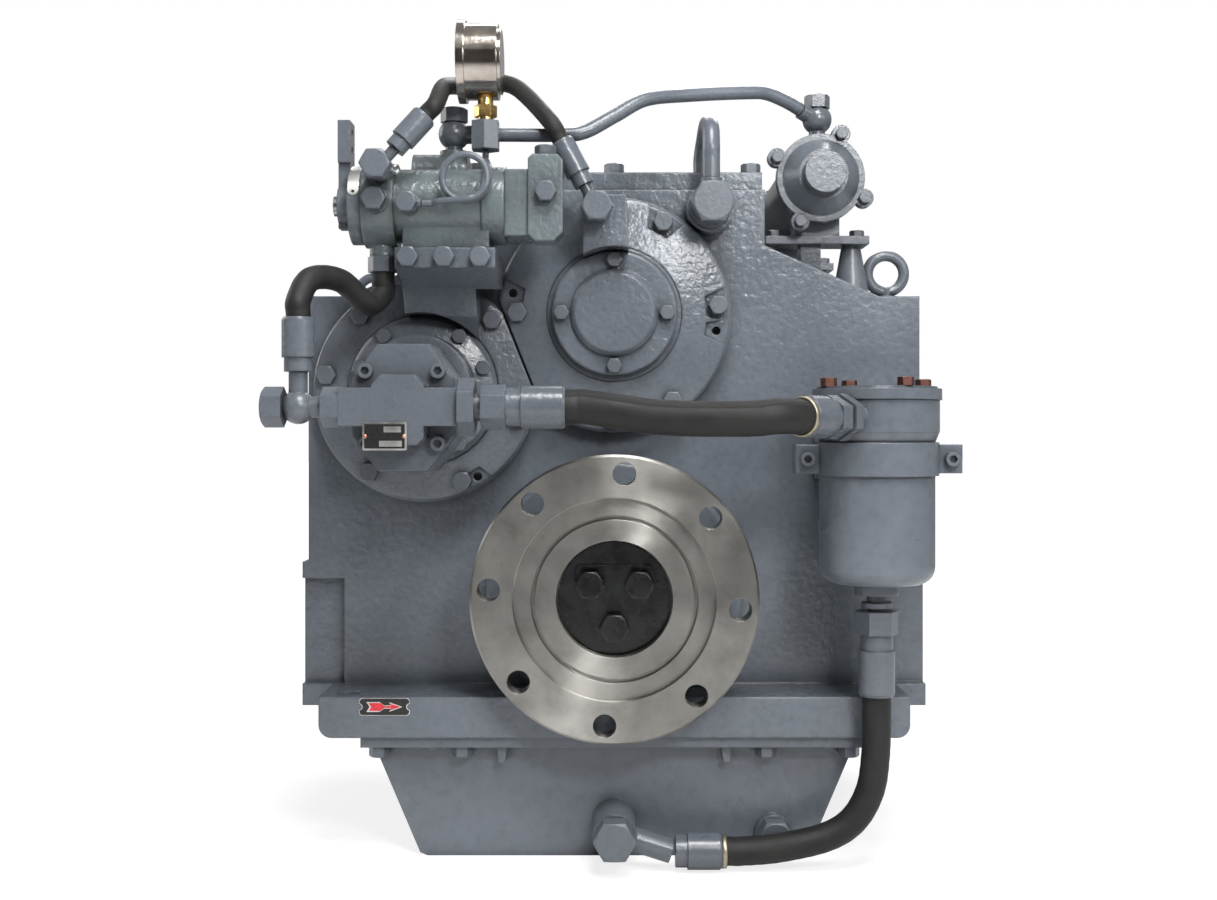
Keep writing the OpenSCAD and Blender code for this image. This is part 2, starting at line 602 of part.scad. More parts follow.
input_dir = heading(input_c, reverse_c);
module drum(turn) difference() {
    union() {
        spur(drum_m, drum_teeth, turn, drum_y, shell_y);
        ring_y(shell_r, shell_in, shell_y - 1, shell_end);
        rod_y(sleeve_r, shell_y - 1, shell_y + 21);
    }
    rod_y(shaft_r + seat_gap, drum_y - 1, shell_y + 22);
}
module plates() {
    for (i = [0 : plate_count - 1])
        let (y = plates_y + i * (plate_t + 1.2))
        ring_y(i % 2 == 0 ? shell_in - 0.3 : shell_in - 6,
            i % 2 == 0 ? pinion_hub_r + 5 : pinion_hub_r + 0.3, y, y + plate_t);
}
module piston() ring_y(shell_in - run_gap, sleeve_r + run_gap, piston_y, piston_y + 14);
module pinion(turn) difference() {
    union() {
        spur(gear_m, pinion_teeth, turn, gear_y, gear_y + output_gear_w);
        rod_y(pinion_hub_r, shell_y + 23, gear_y + 1);
    }
    rod_y(shaft_r + run_gap, shell_y + 22, gear_y + output_gear_w + 1);
}
module input_drum() color("Gray") on(input_c) drum(input_dir);
module reverse_drum() color("Gray") on(reverse_c) drum(mesh_turn(input_dir, input_dir, drum_teeth, drum_teeth));
module ahead_plates() color("Peru") on(input_c) plates();
module astern_plates() color("Peru") on(reverse_c) plates();
module ahead_piston() color("Silver") on(input_c) piston();
module astern_piston() color("Silver") on(reverse_c) piston();
module ahead_pinion() color("Gray") on(input_c) pinion(mesh_turn(90, 90, output_teeth, pinion_teeth));
module astern_pinion() color("Gray") on(reverse_c)
    pinion(mesh_turn(heading(output_c, reverse_c), 90, output_teeth, pinion_teeth));
quill_y = cover_y - 26;
module reverse_shaft() color("Silver") on(reverse_c) difference() {
    union() {
        rod_y(shaft_r, inner_y - bearing_w + 2, pocket_y + bearing_w - 2);
        ring_y(shaft_r + 7, shaft_r - 1, inner_y + 1, drum_y);
        rod_y(19, quill_y, inner_y - bearing_w + 3);
    }
    rod_y(pump_shaft_r + seat_gap, quill_y - 1, cover_y + 10);
}
module output_shaft() color("Silver") {
    rod_y(output_shaft_r, keeper_y, rear_y);
    rod_y(output_seat_r, inner_y - bearing_w - 1, pocket_y + bearing_w - 2);
    rod_y(output_seat_r + 8, inner_y + 2, inner_y + 24);
}
module output_gear() color("Gray") difference() {
    union() {
        spur(gear_m, output_teeth, 90, gear_y, gear_y + output_gear_w);
        rod_y(output_seat_r + 26, gear_y - 24, gear_y + 1);
    }
    rod_y(output_seat_r + seat_gap, gear_y - 25, gear_y + output_gear_w + 1);
    for (i = [0 : 5]) on(polar(gear_m * output_teeth * 0.33, 60 * i))
        rod_y(26, gear_y - 1, gear_y + output_gear_w + 1);
}
keeper_y = 26;
module output_flange() color("LightGray") difference() {
    union() {
        disc_y(flange_r, 0, flange_t, 2, 2);
        rod_y(hub_r + 12, flange_t - 1, flange_t + 22);
        rod_y(hub_r, flange_t, inner_y - bearing_w - 2);
    }
    rod_y(spigot_r, -1, spigot_depth);
    ring_y(spigot_r - 16, spigot_r - 20, spigot_depth - 1, spigot_depth + 4);
    rod_y(53, -1, keeper_y);
    rod_y(output_shaft_r + seat_gap, keeper_y - 1, rear_y);
    for (i = [0 : flange_holes - 1])
        on(polar(flange_bolt_r, 90 - flange_turn + i * 360 / flange_holes))
            rod_y(flange_hole_r, -1, flange_t + 1);
}
keeper_bolts = [[-22.5, 13], [22.5, 13], [0, -26]];
module keeper_plate() color("DimGray") difference() {
    union() {
        rod_y(51, keeper_y - 8, keeper_y);
        slab_y(keeper_y - 12, keeper_y - 7)
            polygon([[-33, 30], [33, 30], [36, 24], [14, -38], [-14, -38], [-36, 24]]);
    }
    for (b = keeper_bolts) on(b) rod_y(7 + bolt_gap, keeper_y - 13, keeper_y + 1);
}
module shaft_end_bolts() color("Gray") for (b = keeper_bolts) aft_bolt(b[0], keeper_y - 12, b[1], 24, 11);
// Oil pump
module pump_outline(g = 0) {
    w = pump_w / 2 - g;
    h = pump_h / 2 - g;
    polygon([[w, -0.45 * h], [w, 0.45 * h], [0.5 * w, h], [-0.5 * w, h],
        [-w, 0.45 * h], [-w, -0.45 * h], [-0.5 * w, -h], [0.5 * w, -h]]);
}
module pump_adapter() color("SlateGray") on(reverse_c) difference() {
    union() {
        disc_y(adapter_r, cover_y - 14, cover_y, cast_edge);
        rod_y(adapter_r - 21, adapter_y, cover_y - 13);
    }
    rod_y(24, adapter_y - 1, cover_y + 1);
    for (b = adapter_bolts) on(b - reverse_c) rod_y(0.29 * 13 + bolt_gap, cover_y - 15, cover_y + 1);
}
driven_c = reverse_c - [0, pump_centers];
gear_end = pump_y + 0.3 + pump_gear_w;
module pump_body() color("SlateGray") difference() {
    on(pump_c) slab_y(pump_y, adapter_y) pump_outline();
    for (c = [reverse_c, driven_c]) on(c) rod_y(pump_tip + 0.15, pump_y - 1, gear_end + 0.3);
    on(reverse_c) rod_y(pump_shaft_r + run_gap, pump_y, adapter_y + 1);
    on(driven_c) rod_y(pump_shaft_r + run_gap, pump_y, gear_end + 17);
}
module pump_cover() color("SlateGray") on(pump_c) difference() {
    union() {
        slab_y(pump_y - pump_plate_t, pump_y) pump_outline(1);
        slab_y(pump_y - pump_plate_t - port_depth, pump_y - pump_plate_t + 1)
            polygon([[-port_half, -16], [-port_half, 16], [port_half, 16], [port_half, -16]]);
        slab_y(pump_y - pump_plate_t - port_depth, pump_y - pump_plate_t + 1)
            polygon([[-22, -26], [-16, -32], [16, -32], [22, -26], [22, 18], [14, 27], [-14, 27], [-22, 18]]);
    }
    for (s = [-1, 1]) translate([0, port_y, 0])
        rod_x(9, s < 0 ? -port_half - 1 : 20, s < 0 ? -20 : port_half + 1);
    for (b = pump_screws) on(b - pump_c) rod_y(3.9 + bolt_gap, pump_y - pump_plate_t - 1, pump_y + 1);
}
module pump_drive_gear() color("Silver") on(reverse_c) {
    spur(pump_m, pump_teeth, 270, pump_y + 0.3, gear_end, 25);
    rod_y(pump_shaft_r, pump_y + 0.3, cover_y + 8);
}
module pump_driven_gear() color("Silver") on(driven_c) {
    spur(pump_m, pump_teeth, mesh_turn(270, 270, pump_teeth, pump_teeth), pump_y + 0.3, gear_end, 25);
    rod_y(pump_shaft_r, pump_y + 0.3, gear_end + 16);
}
clamp_mid = (clamp_z0 + clamp_z1) / 2;
module socket_screws() color("DimGray") {
    for (b = pump_screws) translate([b[0], pump_y - pump_plate_t, b[1]]) rotate([90, 0, 0])
        socket_bolt(6.5, pump_plate_t - 1);
    for (s = [-1, 1]) translate([filter_c[0] + s * clamp_ear, filter_c[1] - 12, clamp_mid]) rotate([90, 0, 0])
        socket_bolt(6.5, 9);
}
// Control valve
plug_c = [valve_x0 + 14, valve_z];
lube_port = [valve_x0 + 18, valve_z + 27];
gauge_port = [valve_x0 + 43, valve_z - 4];
bracket_bolts = [for (x = [42, 74, 106]) [valve_x0 + x, pad_z - 9]];
module valve_body() color("DarkSeaGreen") difference() {
    union() {
        translate([0, valve_y, valve_z]) {
            rod_x(valve_r, valve_x0, valve_x1);
            rod_x(valve_r + 5, valve_x0, valve_x0 + 29);
            rod_x(valve_r + 2, valve_x1 - 20, valve_x1);
        }
        box([bracket_x0 + 6, valve_y - 24, pad_z], [bracket_x1 - 6, valve_y + 34, valve_z - 6]);
        translate([0, hump[1], hump[2]]) rod_x(21, hump[0], hump[0] + 51);
        box([hump[0] + 4, valve_y, valve_z], [hump[0] + 47, hump[1] + 14, hump[2]]);
        translate([hump[0] + 37, hump[1], 0]) rod_z(13, hump[2], hump[2] + 24);
        for (p = [plug_c, lube_port]) on(p) rod_y(12, valve_y - valve_r - 7, valve_y);
        on(gauge_port) rod_y(9, valve_y - valve_r - 4, valve_y);
        translate([valve_x0 + 3 + 12, valve_y, 0]) rod_z(12, pad_z - 5, valve_z);
    }
    translate([0, valve_y, valve_z]) rod_x(spool_r + run_gap, valve_x0 - 1, valve_x1 + 1);
}
end_block_x = valve_x1 + 22;
end_block_z = valve_z + 42;
module valve_end_covers() color("SlateGray") {
    translate([0, valve_y, valve_z]) difference() {
        rod_x(valve_r + 2, valve_x0 - 12, valve_x0);
        rod_x(9 + run_gap, valve_x0 - 13, valve_x0 + 1);
    }
    box([valve_x1, valve_y - 27, valve_z - 30], [end_block_x, valve_y + 32, valve_z + 29]);
    slab_y(valve_y - 30, valve_y + 2) polygon([
        [end_block_x - 1, valve_z - 29], [end_block_x + 5, valve_z - 35], [end_block_x + 22, valve_z - 35],
        [end_block_x + 30, valve_z - 27], [end_block_x + 30, end_block_z - 5], [end_block_x + 25, end_block_z],
        [end_block_x + 3, end_block_z], [end_block_x - 1, end_block_z - 4]]);
}
module valve_spool() color("Silver") translate([0, valve_y, valve_z]) {
    rod_x(spool_r, valve_x0 + 0.5, valve_x0 + 40);
    rod_x(spool_r - 4, valve_x0 + 39, valve_x0 + 80);
    rod_x(spool_r, valve_x0 + 79, valve_x1 - 1);
    rod_x(9, lever_x0 - 5, valve_x0 + 1);
}
module control_lever() color("SlateGray") translate([0, valve_y, valve_z]) difference() {
    union() {
        rod_x(18, lever_x0, lever_x1);
        box([lever_x0, -8, 4], [lever_x1, 8, lever_len - 30]);
        box([lever_x0, -12, lever_len - 38], [lever_x1, 12, lever_len]);
        box([lever_x0, -8, -21], [lever_x1, 8, -10]);
    }
    rod_x(9 + seat_gap, lever_x0 - 1, lever_x1 + 1);
    box([lever_x0 - 1, -1.2, -22], [lever_x1 + 1, 1.2, -5]);
    for (z = [10, 26]) translate([0, 0, lever_len - z]) rod_x(4, lever_x0 - 1, lever_x1 + 1);
}
// Pressure gauge, dial towards -X
gauge_x0 = gauge_c[0] - gauge_d / 2;
dial_x = gauge_x0 + 13;
module gauge_case() color("Silver") translate([0, gauge_c[1], gauge_c[2]]) difference() {
    union() {
        rod_x(gauge_r, gauge_x0, gauge_x0 + gauge_d);
        rod_x(gauge_r + 3, gauge_x0 - 2, gauge_x0 + 5);
        rod_x(gauge_r - 5, gauge_x0, gauge_x0 + gauge_d + 3);
    }
    rod_x(gauge_r - 4, gauge_x0 - 3, dial_x);
    rod_x(1.5 + run_gap, dial_x - 1, dial_x + 8);
}
module gauge_glass() color("LightCyan", 0.4) translate([0, gauge_c[1], gauge_c[2]])
    rod_x(gauge_r - 4 - seat_gap, gauge_x0 + 1, gauge_x0 + 4);
module gauge_pointer() color("Black") translate([0, gauge_c[1], gauge_c[2]]) rotate([-135, 0, 0]) {
    rod_x(1.5, dial_x - 4, dial_x + 6);
    rod_x(4, dial_x - 4, dial_x - 1);
    translate([dial_x - 3, 0, 0]) rotate([90, 0, 90]) linear_extrude(1.5)
        polygon([[-2, -9], [2, -9], [0.6, gauge_r - 9], [-0.6, gauge_r - 9]]);
}
stem_z = gauge_c[2] - gauge_r - 20;
block_z = stem_z - 26;
stem_x = gauge_c[0] + 5;
module gauge_stem() color("Goldenrod") difference() {
    translate([stem_x, gauge_c[1], 0]) {
        rod_z(7, stem_z, gauge_c[2] - 10);
        translate([0, 0, stem_z + 4]) hex_nut(18, 10);
    }
    translate([0, gauge_c[1], gauge_c[2]]) rod_x(gauge_r + seat_gap, gauge_x0 - 9, gauge_x0 + gauge_d + 9);
}
// Suction filter
module filter_head() color("SlateGray") translate([filter_c[0], filter_c[1], 0]) difference() {
    union() {
        rod_z(bowl_r + 4, clamp_z1 + 9, head_z1);
        translate([0, 0, clamp_z1]) cylinder(r1 = bowl_r, r2 = bowl_r + 4, h = 10);
        aim(inlet_root, inlet_dir) cylinder(r = 15, h = inlet_reach - 0.02);
    }
    rod_z(bowl_r - 12, clamp_z1 - 1, head_z1 - 8);
    aim(inlet_root, inlet_dir) cylinder(r = 9, h = inlet_reach + 1);
}
module filter_lid() color("SlateGray") translate([filter_c[0], filter_c[1], 0]) difference() {
    union() {
        rod_z(filter_lid_r, head_z1, lid_z1 - 2);
        rod_z(filter_lid_r - 4, lid_z1 - 3, lid_z1);
    }
    for (b = lid_bolts) translate([b[0], b[1], 0]) rod_z(0.29 * 13 + bolt_gap, head_z1 - 1, lid_z1 + 1);
}
module filter_lid_bolts() color("Sienna") for (b = lid_bolts)
    translate([filter_c[0] + b[0], filter_c[1] + b[1], lid_z1]) hex_bolt(13, lid_z1 - head_z1 - 1);
bowl_arc = 16;
module filter_bowl() color("SlateGray") translate([filter_c[0], filter_c[1], 0]) difference() {
    union() {
        rotate_extrude() polygon(concat(
            [[0, bowl_z]],
            [for (a = [-90 : 15 : 0]) [bowl_r - bowl_arc, bowl_z + bowl_arc] + polar(bowl_arc, a)],
            [[bowl_r, clamp_z1], [0, clamp_z1]]));
        rod_z(20, bowl_z - 10, bowl_z + 1);
    }
    rod_z(bowl_r - 5, bowl_z + bowl_arc, clamp_z1 + 1);
    rod_z(9, bowl_z - 11, bowl_z + bowl_arc + 1);
}
module filter_element() color("Gold") translate([filter_c[0], filter_c[1], 0]) difference() {
    rod_z(bowl_r - 16, bowl_z + bowl_arc, clamp_z1 - 2);
    rod_z(bowl_r - 22, bowl_z + bowl_arc - 1, clamp_z1 - 6);
}
module clamp_half(s) difference() {
    union() {
        rod_z(bowl_r + 3.5, clamp_z0, clamp_z1);
        box([-clamp_ear - 10, -12, clamp_z0 + 2], [clamp_ear + 10, 12, clamp_z1 - 2]);
        if (s > 0) {
            box([-22, bowl_r, clamp_z0 + 2], [22, rear_y - filter_c[1] - 6, clamp_z1 - 2]);
            box([-44, rear_y - filter_c[1] - 12, clamp_z0 - 6], [44, rear_y - filter_c[1], clamp_z1 + 6]);
        }
    }
    rod_z(bowl_r + 0.3, clamp_z0 - 1, clamp_z1 + 1);
    box([-200, s > 0 ? -200 : -1, clamp_z0 - 9], [200, s > 0 ? 1 : 200, clamp_z1 + 9]);
    for (x = [-clamp_ear, clamp_ear]) translate([x, 0, clamp_mid]) rod_y(3.9 + bolt_gap, -13, -0.5);
}
module filter_clamp() color("SlateGray") translate([filter_c[0], filter_c[1], 0]) {
    clamp_half(-1);
    clamp_half(1);
}
// Oil cooler
cooler_end = cooler_y + cooler_len;
cooler_port_y = cooler_y + 14;
lug_places = [for (a = [20, 110, 200, 290]) polar(cooler_r + 11, a + 45)];
module cooler_shell() color("SlateGray") on(cooler_c) {
    rod_y(cooler_r, cooler_y, cooler_end);
    translate([0, cooler_port_y, 0]) rod_z(10, cooler_r - 8, cooler_r + 10);
    translate([0, cooler_end - 30, 0]) rod_z(10, cooler_r - 8, cooler_r + 10);
}
module cooler_cap() {
    rod_y(cooler_r + 7, -12, 0);
    for (p = lug_places) on(p) rod_y(9, -12, 0);
    translate([0, -11, 0]) rotate([90, 0, 0]) cylinder(r1 = cooler_r + 2, r2 = cooler_r - 12, h = 20);
    rod_y(20, -46, -10);
}
module cooler_end_caps() color("LightSlateGray") on(cooler_c) {
    translate([0, cooler_y, 0]) cooler_cap();
    translate([0, cooler_end, 0]) mirror([0, 1, 0]) cooler_cap();
}
module cooler_cap_bolts() on(cooler_c) for (p = lug_places) {
    aft_bolt(p[0], cooler_y - 12, p[1], 11, 0);
    translate([p[0], cooler_end + 12, p[1]]) rotate([-90, 0, 0]) hex_bolt(11, 0);
}
saddle_z = cooler_c[1] - cooler_r - 18;
module cooler_stand(y) difference() {
    union() {
        box([deck_w / 2 + 3, y, saddle_z - 8], [cooler_c[0] + 51, y + 40, saddle_z]);
        box([cooler_c[0] - 22, y + 4, saddle_z - 1], [cooler_c[0] + 22, y + 36, cooler_c[1] - 16]);
        box([cooler_c[0] - 16, y + 8, saddle_z - 80], [cooler_c[0] + 4, y + 32, saddle_z]);
        translate([cooler_c[0] + 36, y + 20, saddle_z - 56]) cylinder(r1 = 18, r2 = 9, h = 50);
    }
    on(cooler_c) rod_y(cooler_r + seat_gap, y - 1, y + 41);
    slab_y(y - 1, y + 41) outline(-seat_gap, 0, deck_z);
}
module cooler_bracket() color("LightSlateGray") {
    cooler_stand(cooler_y + 8);
    cooler_stand(cooler_end - 54);
}
eye_x = half_w - 20;
module lifting_eyes() color("SlateGray") for (p = [[eye_x, rear_y + 66], [-eye_x, front_y - 66]])
    translate([p[0], p[1], shoulder_z]) {
        rod_z(12, 0, 6);
        rod_z(6, 5, 9 + eye_bar);
        translate([0, 0, 8 + eye_r + eye_bar / 2]) rotate([90, 0, 0])
            rotate_extrude() translate([eye_r, 0]) circle(eye_bar);
    }
// Pipework anchors
port_left = pump_c[0] - port_half;
port_right = pump_c[0] + port_half;
ball_r = 14.5;
pump_ball = [port_left - 36, port_y, port_z];
inlet_turn = 45;
inlet_dir = [-cos(inlet_turn), -sin(inlet_turn), 0];
inlet_root = [10 * sin(inlet_turn), -10 * cos(inlet_turn), head_z1 - 16];
inlet_reach = bowl_r + 8;
inlet_stack = 28;
inlet = [filter_c[0], filter_c[1], 0] + inlet_root + inlet_reach * inlet_dir;
outlet_z = bowl_z - 10;
valve_inlet = [valve_x0 + 15, valve_y, pad_z - 5];
lube_eye_a = [lube_port[0], valve_y - valve_r - 14, lube_port[1]];
lube_dir_a = unit([0.62, 0.12, 0.72]);
lube_eye_b = [lube_boss[0], 26, lube_boss[1]];
lube_dir_b = unit([-0.47, 0, 0.88]);
pipe_ball_a = [hump[0] + 37, hump[1], hump[2] + 40];
pipe_ball_b = [cooler_c[0], cooler_port_y, cooler_c[1] + cooler_r + 26];
pipe_dir_b = unit([-0.85, -0.34, 0.4]);
return_eye = [return_boss[0], rear_y - 37, return_boss[1]];
gauge_eye = [gauge_port[0], valve_y - valve_r - 8.5, gauge_port[1]];
sump_eye = [sump_port[0], 15, sump_port[1]];
sump_end_p = [52, 13, sump_z + 18];
module ball_end(p, dir, r) {
    difference() {
        union() {
            translate(p) sphere(ball_r);
            aim(p, dir) cylinder(r = r, h = 20);
            translate(p) rod_z(8, -16, 0);
        }
        translate(p) box([-30, -30, 11], [30, 30, 40]);
    }
}
module aft_eye(p, r, w, dir, nr, nl) {
    translate(p) rod_y(r, -w / 2, w / 2);
    aim(p, dir) cylinder(r = nr, h = nl);
}
module hose_unions() color("Silver") {
    difference() {
        union() {
            translate([port_left - 15, port_y, port_z]) rotate([0, 90, 0]) hex_nut(30, 15);
            translate([0, port_y, port_z]) rod_x(9, pump_ball[0], port_left - 14);
            translate(pump_ball) sphere(ball_r);
            translate(pump_ball) rod_z(8, 0, 30);
        }
        translate(pump_ball) box([-40, -30, -30], [-12, 30, 30]);
    }
    translate([port_right, port_y, port_z]) {
        rotate([0, 90, 0]) hex_nut(43, 14);
        rod_x(12, 13, 20);
        translate([19, 0, 0]) rotate([0, 90, 0]) hex_nut(33, 21);
    }
    aim(inlet, inlet_dir) {
        hex_nut(36, 11);
        cylinder(r = 12, h = inlet_stack - 1);
        translate([0, 0, inlet_stack - 14]) hex_nut(33, 14);
    }
    translate([filter_c[0], filter_c[1], outlet_z]) {
        rod_z(9, -16, 0);
        rod_z(14, -12, -7);
        translate([0, 0, -36]) hex_nut(34, 21);
    }
    translate(valve_inlet) translate([0, 0, -14]) hex_nut(24, 14);
    aft_eye(lube_eye_a, 12, 14, lube_dir_a, 5, 22);
    aft_eye(lube_eye_b, 12, 12, lube_dir_b, 5.5, 24);
    ball_end(pipe_ball_a, [1, 0, 0], pipe_r + 2);
    ball_end(pipe_ball_b, pipe_dir_b, pipe_r + 2);
    aft_eye(return_eye, 20, 22, [0, 0, 1], return_r + 2, 26);
    aft_eye(gauge_eye, 9, 9, [1, 0, 0], gauge_tube_r + 1.5, 12);
    translate([stem_x, gauge_c[1], block_z]) rotate([0, 0, 30]) hex_nut(24, 26);
    aft_eye(sump_eye, 20, 26, sump_end_p - sump_eye, 11, norm(sump_end_p - sump_eye));
}
module ferrule(p, dir, r, len) aim(p, dir) difference() {
    union() {
        cylinder(r = r + 1.4, h = len);
        translate([0, 0, 0.26 * len]) cylinder(r = r + 3.4, h = 0.7 * len);
        translate([0, 0, 0.92 * len]) cylinder(r1 = r + 3.4, r2 = r + 2.2, h = 0.08 * len);
    }
    translate([0, 0, 6]) cylinder(r = r + 0.3, h = len);
}
sump_ferrule = sump_end_p + [3.4, 0, 0];
module hose_ferrules() color("DimGray") {
    ferrule(pump_ball + [0, 0, 30], [0, 0, 1], pressure_r, 46);
    ferrule([port_right + 40, port_y, port_z], [1, 0, 0], suction_r, 50);
    ferrule(inlet + inlet_stack * inlet_dir, inlet_dir, suction_r, 34);
    ferrule([filter_c[0], filter_c[1], outlet_z - 36], [0, 0, -1], sump_hose_r, 56);
    ferrule(lube_eye_a + 22 * lube_dir_a, lube_dir_a, lube_r, 40);
    ferrule(lube_eye_b + 24 * lube_dir_b, lube_dir_b, lube_r, 46);
    ferrule(sump_ferrule, [1, 0, 0], sump_hose_r, 42);
}
module banjo_bolts() color("Gray") {
    translate(pump_ball - [12, 0, 0]) rotate([0, -90, 0]) hex_bolt(30, 0);
    for (b = [[lube_eye_a, 14, 24], [lube_eye_b, 12, 26], [return_eye, 22, 37],
        [gauge_eye, 9, 17], [sump_eye, 26, 34]])
        aft_bolt(b[0][0], b[0][1] - b[1] / 2, b[0][2], b[2], 0);
    for (p = [pipe_ball_a, pipe_ball_b]) translate(p + [0, 0, 11]) hex_bolt(22, 0);
    aft_bolt(drain_c[0], sump_y - 8, drain_c[1], 30, 0);
    aft_bolt(plug_c[0], valve_y - valve_r - 7, plug_c[1], 19, 0);
    for (b = bracket_bolts) aft_bolt(b[0], valve_y - 30, b[1], bolt_af, 0);
    aft_bolt(end_block_x + 15, valve_y - 30, valve_z + 8, bolt_af, 0);
    translate([end_block_x + 14, valve_y - 14, end_block_z]) hex_bolt(bolt_af, 0);
}
// Hoses and pipes, each along hand-placed points between its fittings
suction_bend = inlet + (inlet_stack + 60) * inlet_dir;
suction_path = [
    [port_right + 47, port_y, port_z],
    [port_right + 92, port_y, port_z],
    [port_right + 108, port_y, port_z],
    [40, (port_y + suction_bend[1]) / 2, port_z - 9],
    suction_bend - [32, 0, 2],
    suction_bend - [7.5, 0, 0],
    inlet + (inlet_stack + 42) * inlet_dir,
    inlet + (inlet_stack + 26) * inlet_dir,
    inlet + (inlet_stack + 7) * inlet_dir];
module suction_hose() color([0.1, 0.1, 0.1]) tube(route(suction_path, 5), suction_r);
sump_path = [
    [filter_c[0], filter_c[1], outlet_z - 43],
    [filter_c[0], filter_c[1], outlet_z - 94],
    [filter_c[0], filter_c[1], outlet_z - 110],
    [filter_c[0] - 1, filter_c[1], sump_z + 106],
    [filter_c[0] - 6, filter_c[1], sump_z + 74],
    [filter_c[0] - 21, filter_c[1] + 1, sump_z + 47],
    [filter_c[0] - 46, filter_c[1] + 2, sump_z + 31],
    [filter_c[0] - 88, filter_c[1] + 3, sump_z + 21],
    [sump_ferrule[0] + 60, 13, sump_z + 18],
    [sump_ferrule[0] + 44, 13, sump_z + 18],
    [sump_ferrule[0] + 7, 13, sump_z + 18]];
module sump_hose() color([0.1, 0.1, 0.1]) tube(route(sump_path, 4), sump_hose_r);
pressure_path = [
    pump_ball + [0, 0, 37],
    pump_ball + [0, 0, 78],
    pump_ball + [0, 0, 90],
    pump_ball + [8, 14, 110],
    pump_ball + [27, 46, 112],
    valve_inlet + [-11, -17, -44],
    valve_inlet + [0, 0, -32],
    valve_inlet + [0, 0, -22],
    valve_inlet + [0, 0, -14.2]];
module pressure_hose() color([0.1, 0.1, 0.1]) tube(route(pressure_path, 5), pressure_r);
lube_path = concat(
    [for (k = [29, 64, 76]) lube_eye_a + k * lube_dir_a],
    [gauge_c + [-33, -8, -26], gauge_c + [-30, 30, -14], gauge_c + [-16, 56, -8], gauge_c + [6, 58, -4],
        gauge_c + [26, 49, -9], gauge_c + [43, 34, -25]],
    [for (k = [88, 72, 31]) lube_eye_b + k * lube_dir_b]);
module lube_hose() color([0.1, 0.1, 0.1]) tube(route(lube_path, 4), lube_r);
cooler_path = concat(
    [for (k = [20.1, 50, 100]) pipe_ball_a + [k, 0, 0]],
    [pipe_ball_a + [122, 1, 3], pipe_ball_a + [150, 10, 20], pipe_ball_a + [179, 22, 38],
        pipe_ball_a + [219, 42, 47],
        pipe_ball_b + [-72, -30, 20], pipe_ball_b + [-52, -21, 21], pipe_ball_b + [-32, -13, 15]],
    [pipe_ball_b + 20.1 * pipe_dir_b]);
return_path = concat(
    [for (k = [26.1, 45, 58]) return_eye + [0, 0, k]],
    [return_eye + [0, 8, 75], return_eye + [-1, 30, 84], return_eye + [-2, 60, 75]],
    [for (z = [36, 22, 8]) [88, rear_y + 34, deck_z + z]]);
module steel_pipes() color("Silver") {
    tube(route(cooler_path, 4), pipe_r);
    tube(route(return_path, 4), return_r);
}
loop_c = [stem_x - 14, gauge_port[1] + 22];
loop_r = 20;
gauge_path = concat(
    [for (k = [0.2, 4, 8]) [stem_x, gauge_c[1], block_z - k]],
    [[stem_x + 3, gauge_c[1] - 18, block_z - 15], [stem_x + 6, gauge_c[1] - 34, block_z - 23]],
    [for (a = [0 : 30 : 450]) [loop_c[0] + loop_r * cos(a), -30 - a / 36, loop_c[1] - loop_r * sin(a)]],
    [gauge_eye + [30, -6, 1], gauge_eye + [23, -0.5, 0], gauge_eye + [18, 0, 0], gauge_eye + [12.5, 0, 0]]);
module gauge_tube() color("DarkGray") tube(route(gauge_path, 2), gauge_tube_r, 10);

casing();
front_plate();
oil_sump();
top_cover();
input_cover();
reverse_cover();
output_cover();
input_end_cap();
hex_bolts();
shaft_bearings();
shaft_seals();
input_shaft();
input_coupling();
input_drum();
ahead_plates();
ahead_piston();
ahead_pinion();
reverse_shaft();
reverse_drum();
astern_plates();
astern_piston();
astern_pinion();
output_shaft();
output_gear();
output_flange();
keeper_plate();
shaft_end_bolts();
pump_adapter();
pump_body();
pump_cover();
pump_drive_gear();
pump_driven_gear();
socket_screws();
valve_body();
valve_end_covers();
valve_spool();
control_lever();
gauge_case();
gauge_glass();
gauge_pointer();
gauge_stem();
filter_head();
filter_lid();
filter_lid_bolts();
filter_bowl();
filter_element();
filter_clamp();
cooler_shell();
cooler_end_caps();
cooler_bracket();
lifting_eyes();
suction_hose();
sump_hose();
pressure_hose();
lube_hose();
hose_ferrules();
hose_unions();
banjo_bolts();
steel_pipes();
gauge_tube();
